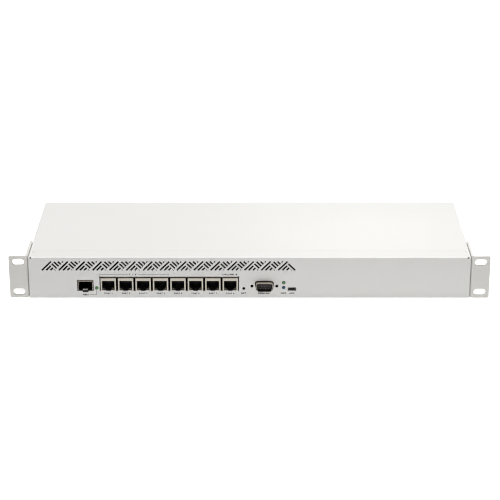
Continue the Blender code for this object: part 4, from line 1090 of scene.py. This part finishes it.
def make_floor():
    """A light table, which glows most close to the front of the case, and far from it."""
    bm = bmesh.new()
    bmesh.ops.create_grid(bm, x_segments=1, y_segments=1, size=9.0)
    floor = link_bmesh(bm, "floor")
    floor.location.z = -0.0001
    pale = make_material(
        "pale_floor", "floor", (0.78, 0.78, 0.78), 0.9, 0.01, 60.0, 0.0, Emission_Color=(1, 1, 1, 1))
    tree = pale.node_tree
    place = own_place(tree)
    across = shade(tree, "SeparateXYZ", "X", {"Vector": place})
    along = shade(tree, "SeparateXYZ", "Y", {"Vector": place})
    distance = shade(tree, "VectorMath", "Value", {0: place}, operation="LENGTH")
    table = ramp(tree, distance, 300, 1500, GLOW_AROUND, GLOW_FAR)
    in_front = ramp(tree, along, FRONT - 16, FRONT - 4, 0, GLOW_CLOSE)
    under_case = ramp(tree, along, FRONT + 10, FRONT + 20, 1, 0)
    ends = ramp(tree, calculate(tree, "ABSOLUTE", across), HALF_WIDTH, HALF_WIDTH + 60, 1, 0)
    glow = calculate(tree, "MULTIPLY_ADD", calculate(tree, "MULTIPLY", in_front, under_case), ends, table)
    feed(tree, tree.nodes["Principled BSDF"], {"Emission Strength": glow})
    floor.data.materials.append(pale)


def add_lamp(name, kind, energy, place, target, **settings):
    obj = link(name, adjust(bpy.data.lights.new(name, kind), energy=energy, **settings))
    obj.location = place
    obj.rotation_euler = (Vector(target) - Vector(place)).to_track_quat("-Z", "Y").to_euler()


def make_studio():
    """A light table, lamps overhead, in front and on the right, and a pool of light on the top, in metres."""
    make_floor()
    world = bpy.data.worlds.new("studio")
    SCENE.world = world
    world.use_nodes = True
    background = world.node_tree.nodes["Background"]
    feed(world.node_tree, background, {"Color": (1.0, 0.985, 0.95, 1), "Strength": WORLD})
    for name, energy, place, target, width, depth in (
        ("overhead", OVERHEAD, (0.2, 0.16, 1.6), (0.2, 0.16, 0.0), 2.4, 0.5),
        ("side", SIDE, (2.0, 0.25, 0.7), (0.2, 0.0, 0.02), 0.8, 0.6),
        ("face", FACE, (0.0, -1.3, 1.25), (0.0, FRONT * MM, 0.02), 1.8, 0.5)):
        add_lamp(name, "AREA", energy, place, target, shape="RECTANGLE", size=width, size_y=depth)
    add_lamp("pool", "SPOT", POOL, (0.25, 0.35, 1.3), (0.125, -0.02, 0.044),
             spot_size=radians(14), spot_blend=1.0, shadow_soft_size=0.1)


def make_camera():
    """The camera looks down at the case from far off in front. Places are in metres."""
    across, away, height, downward, lens = 0.0005, 1.6373, 0.6799, 20.98, 126.4
    obj = link("camera", adjust(
        bpy.data.cameras.new("camera"), sensor_width=36.0, lens=lens, clip_start=0.05, clip_end=50.0))
    obj.location = (across, FRONT * MM - away, height)
    obj.rotation_euler = (radians(90 - downward), 0.0, 0.0)
    SCENE.camera = obj
    SCENE.view_settings.view_transform = "Standard"
    SCENE.cycles.filter_width = 1.1


make_camera()
make_studio()
make_front_panel()
make_top_cover()
make_base_tray()
make_board_posts()
make_ears()
make_screws()
make_network_ports()
make_fibre_port()
make_lights()
make_serial_port()
make_usb_port()
make_reset_button()
make_print()
make_fans()
make_mains_inlet()
make_boards()
make_processor()
make_power_supply()
make_leads()
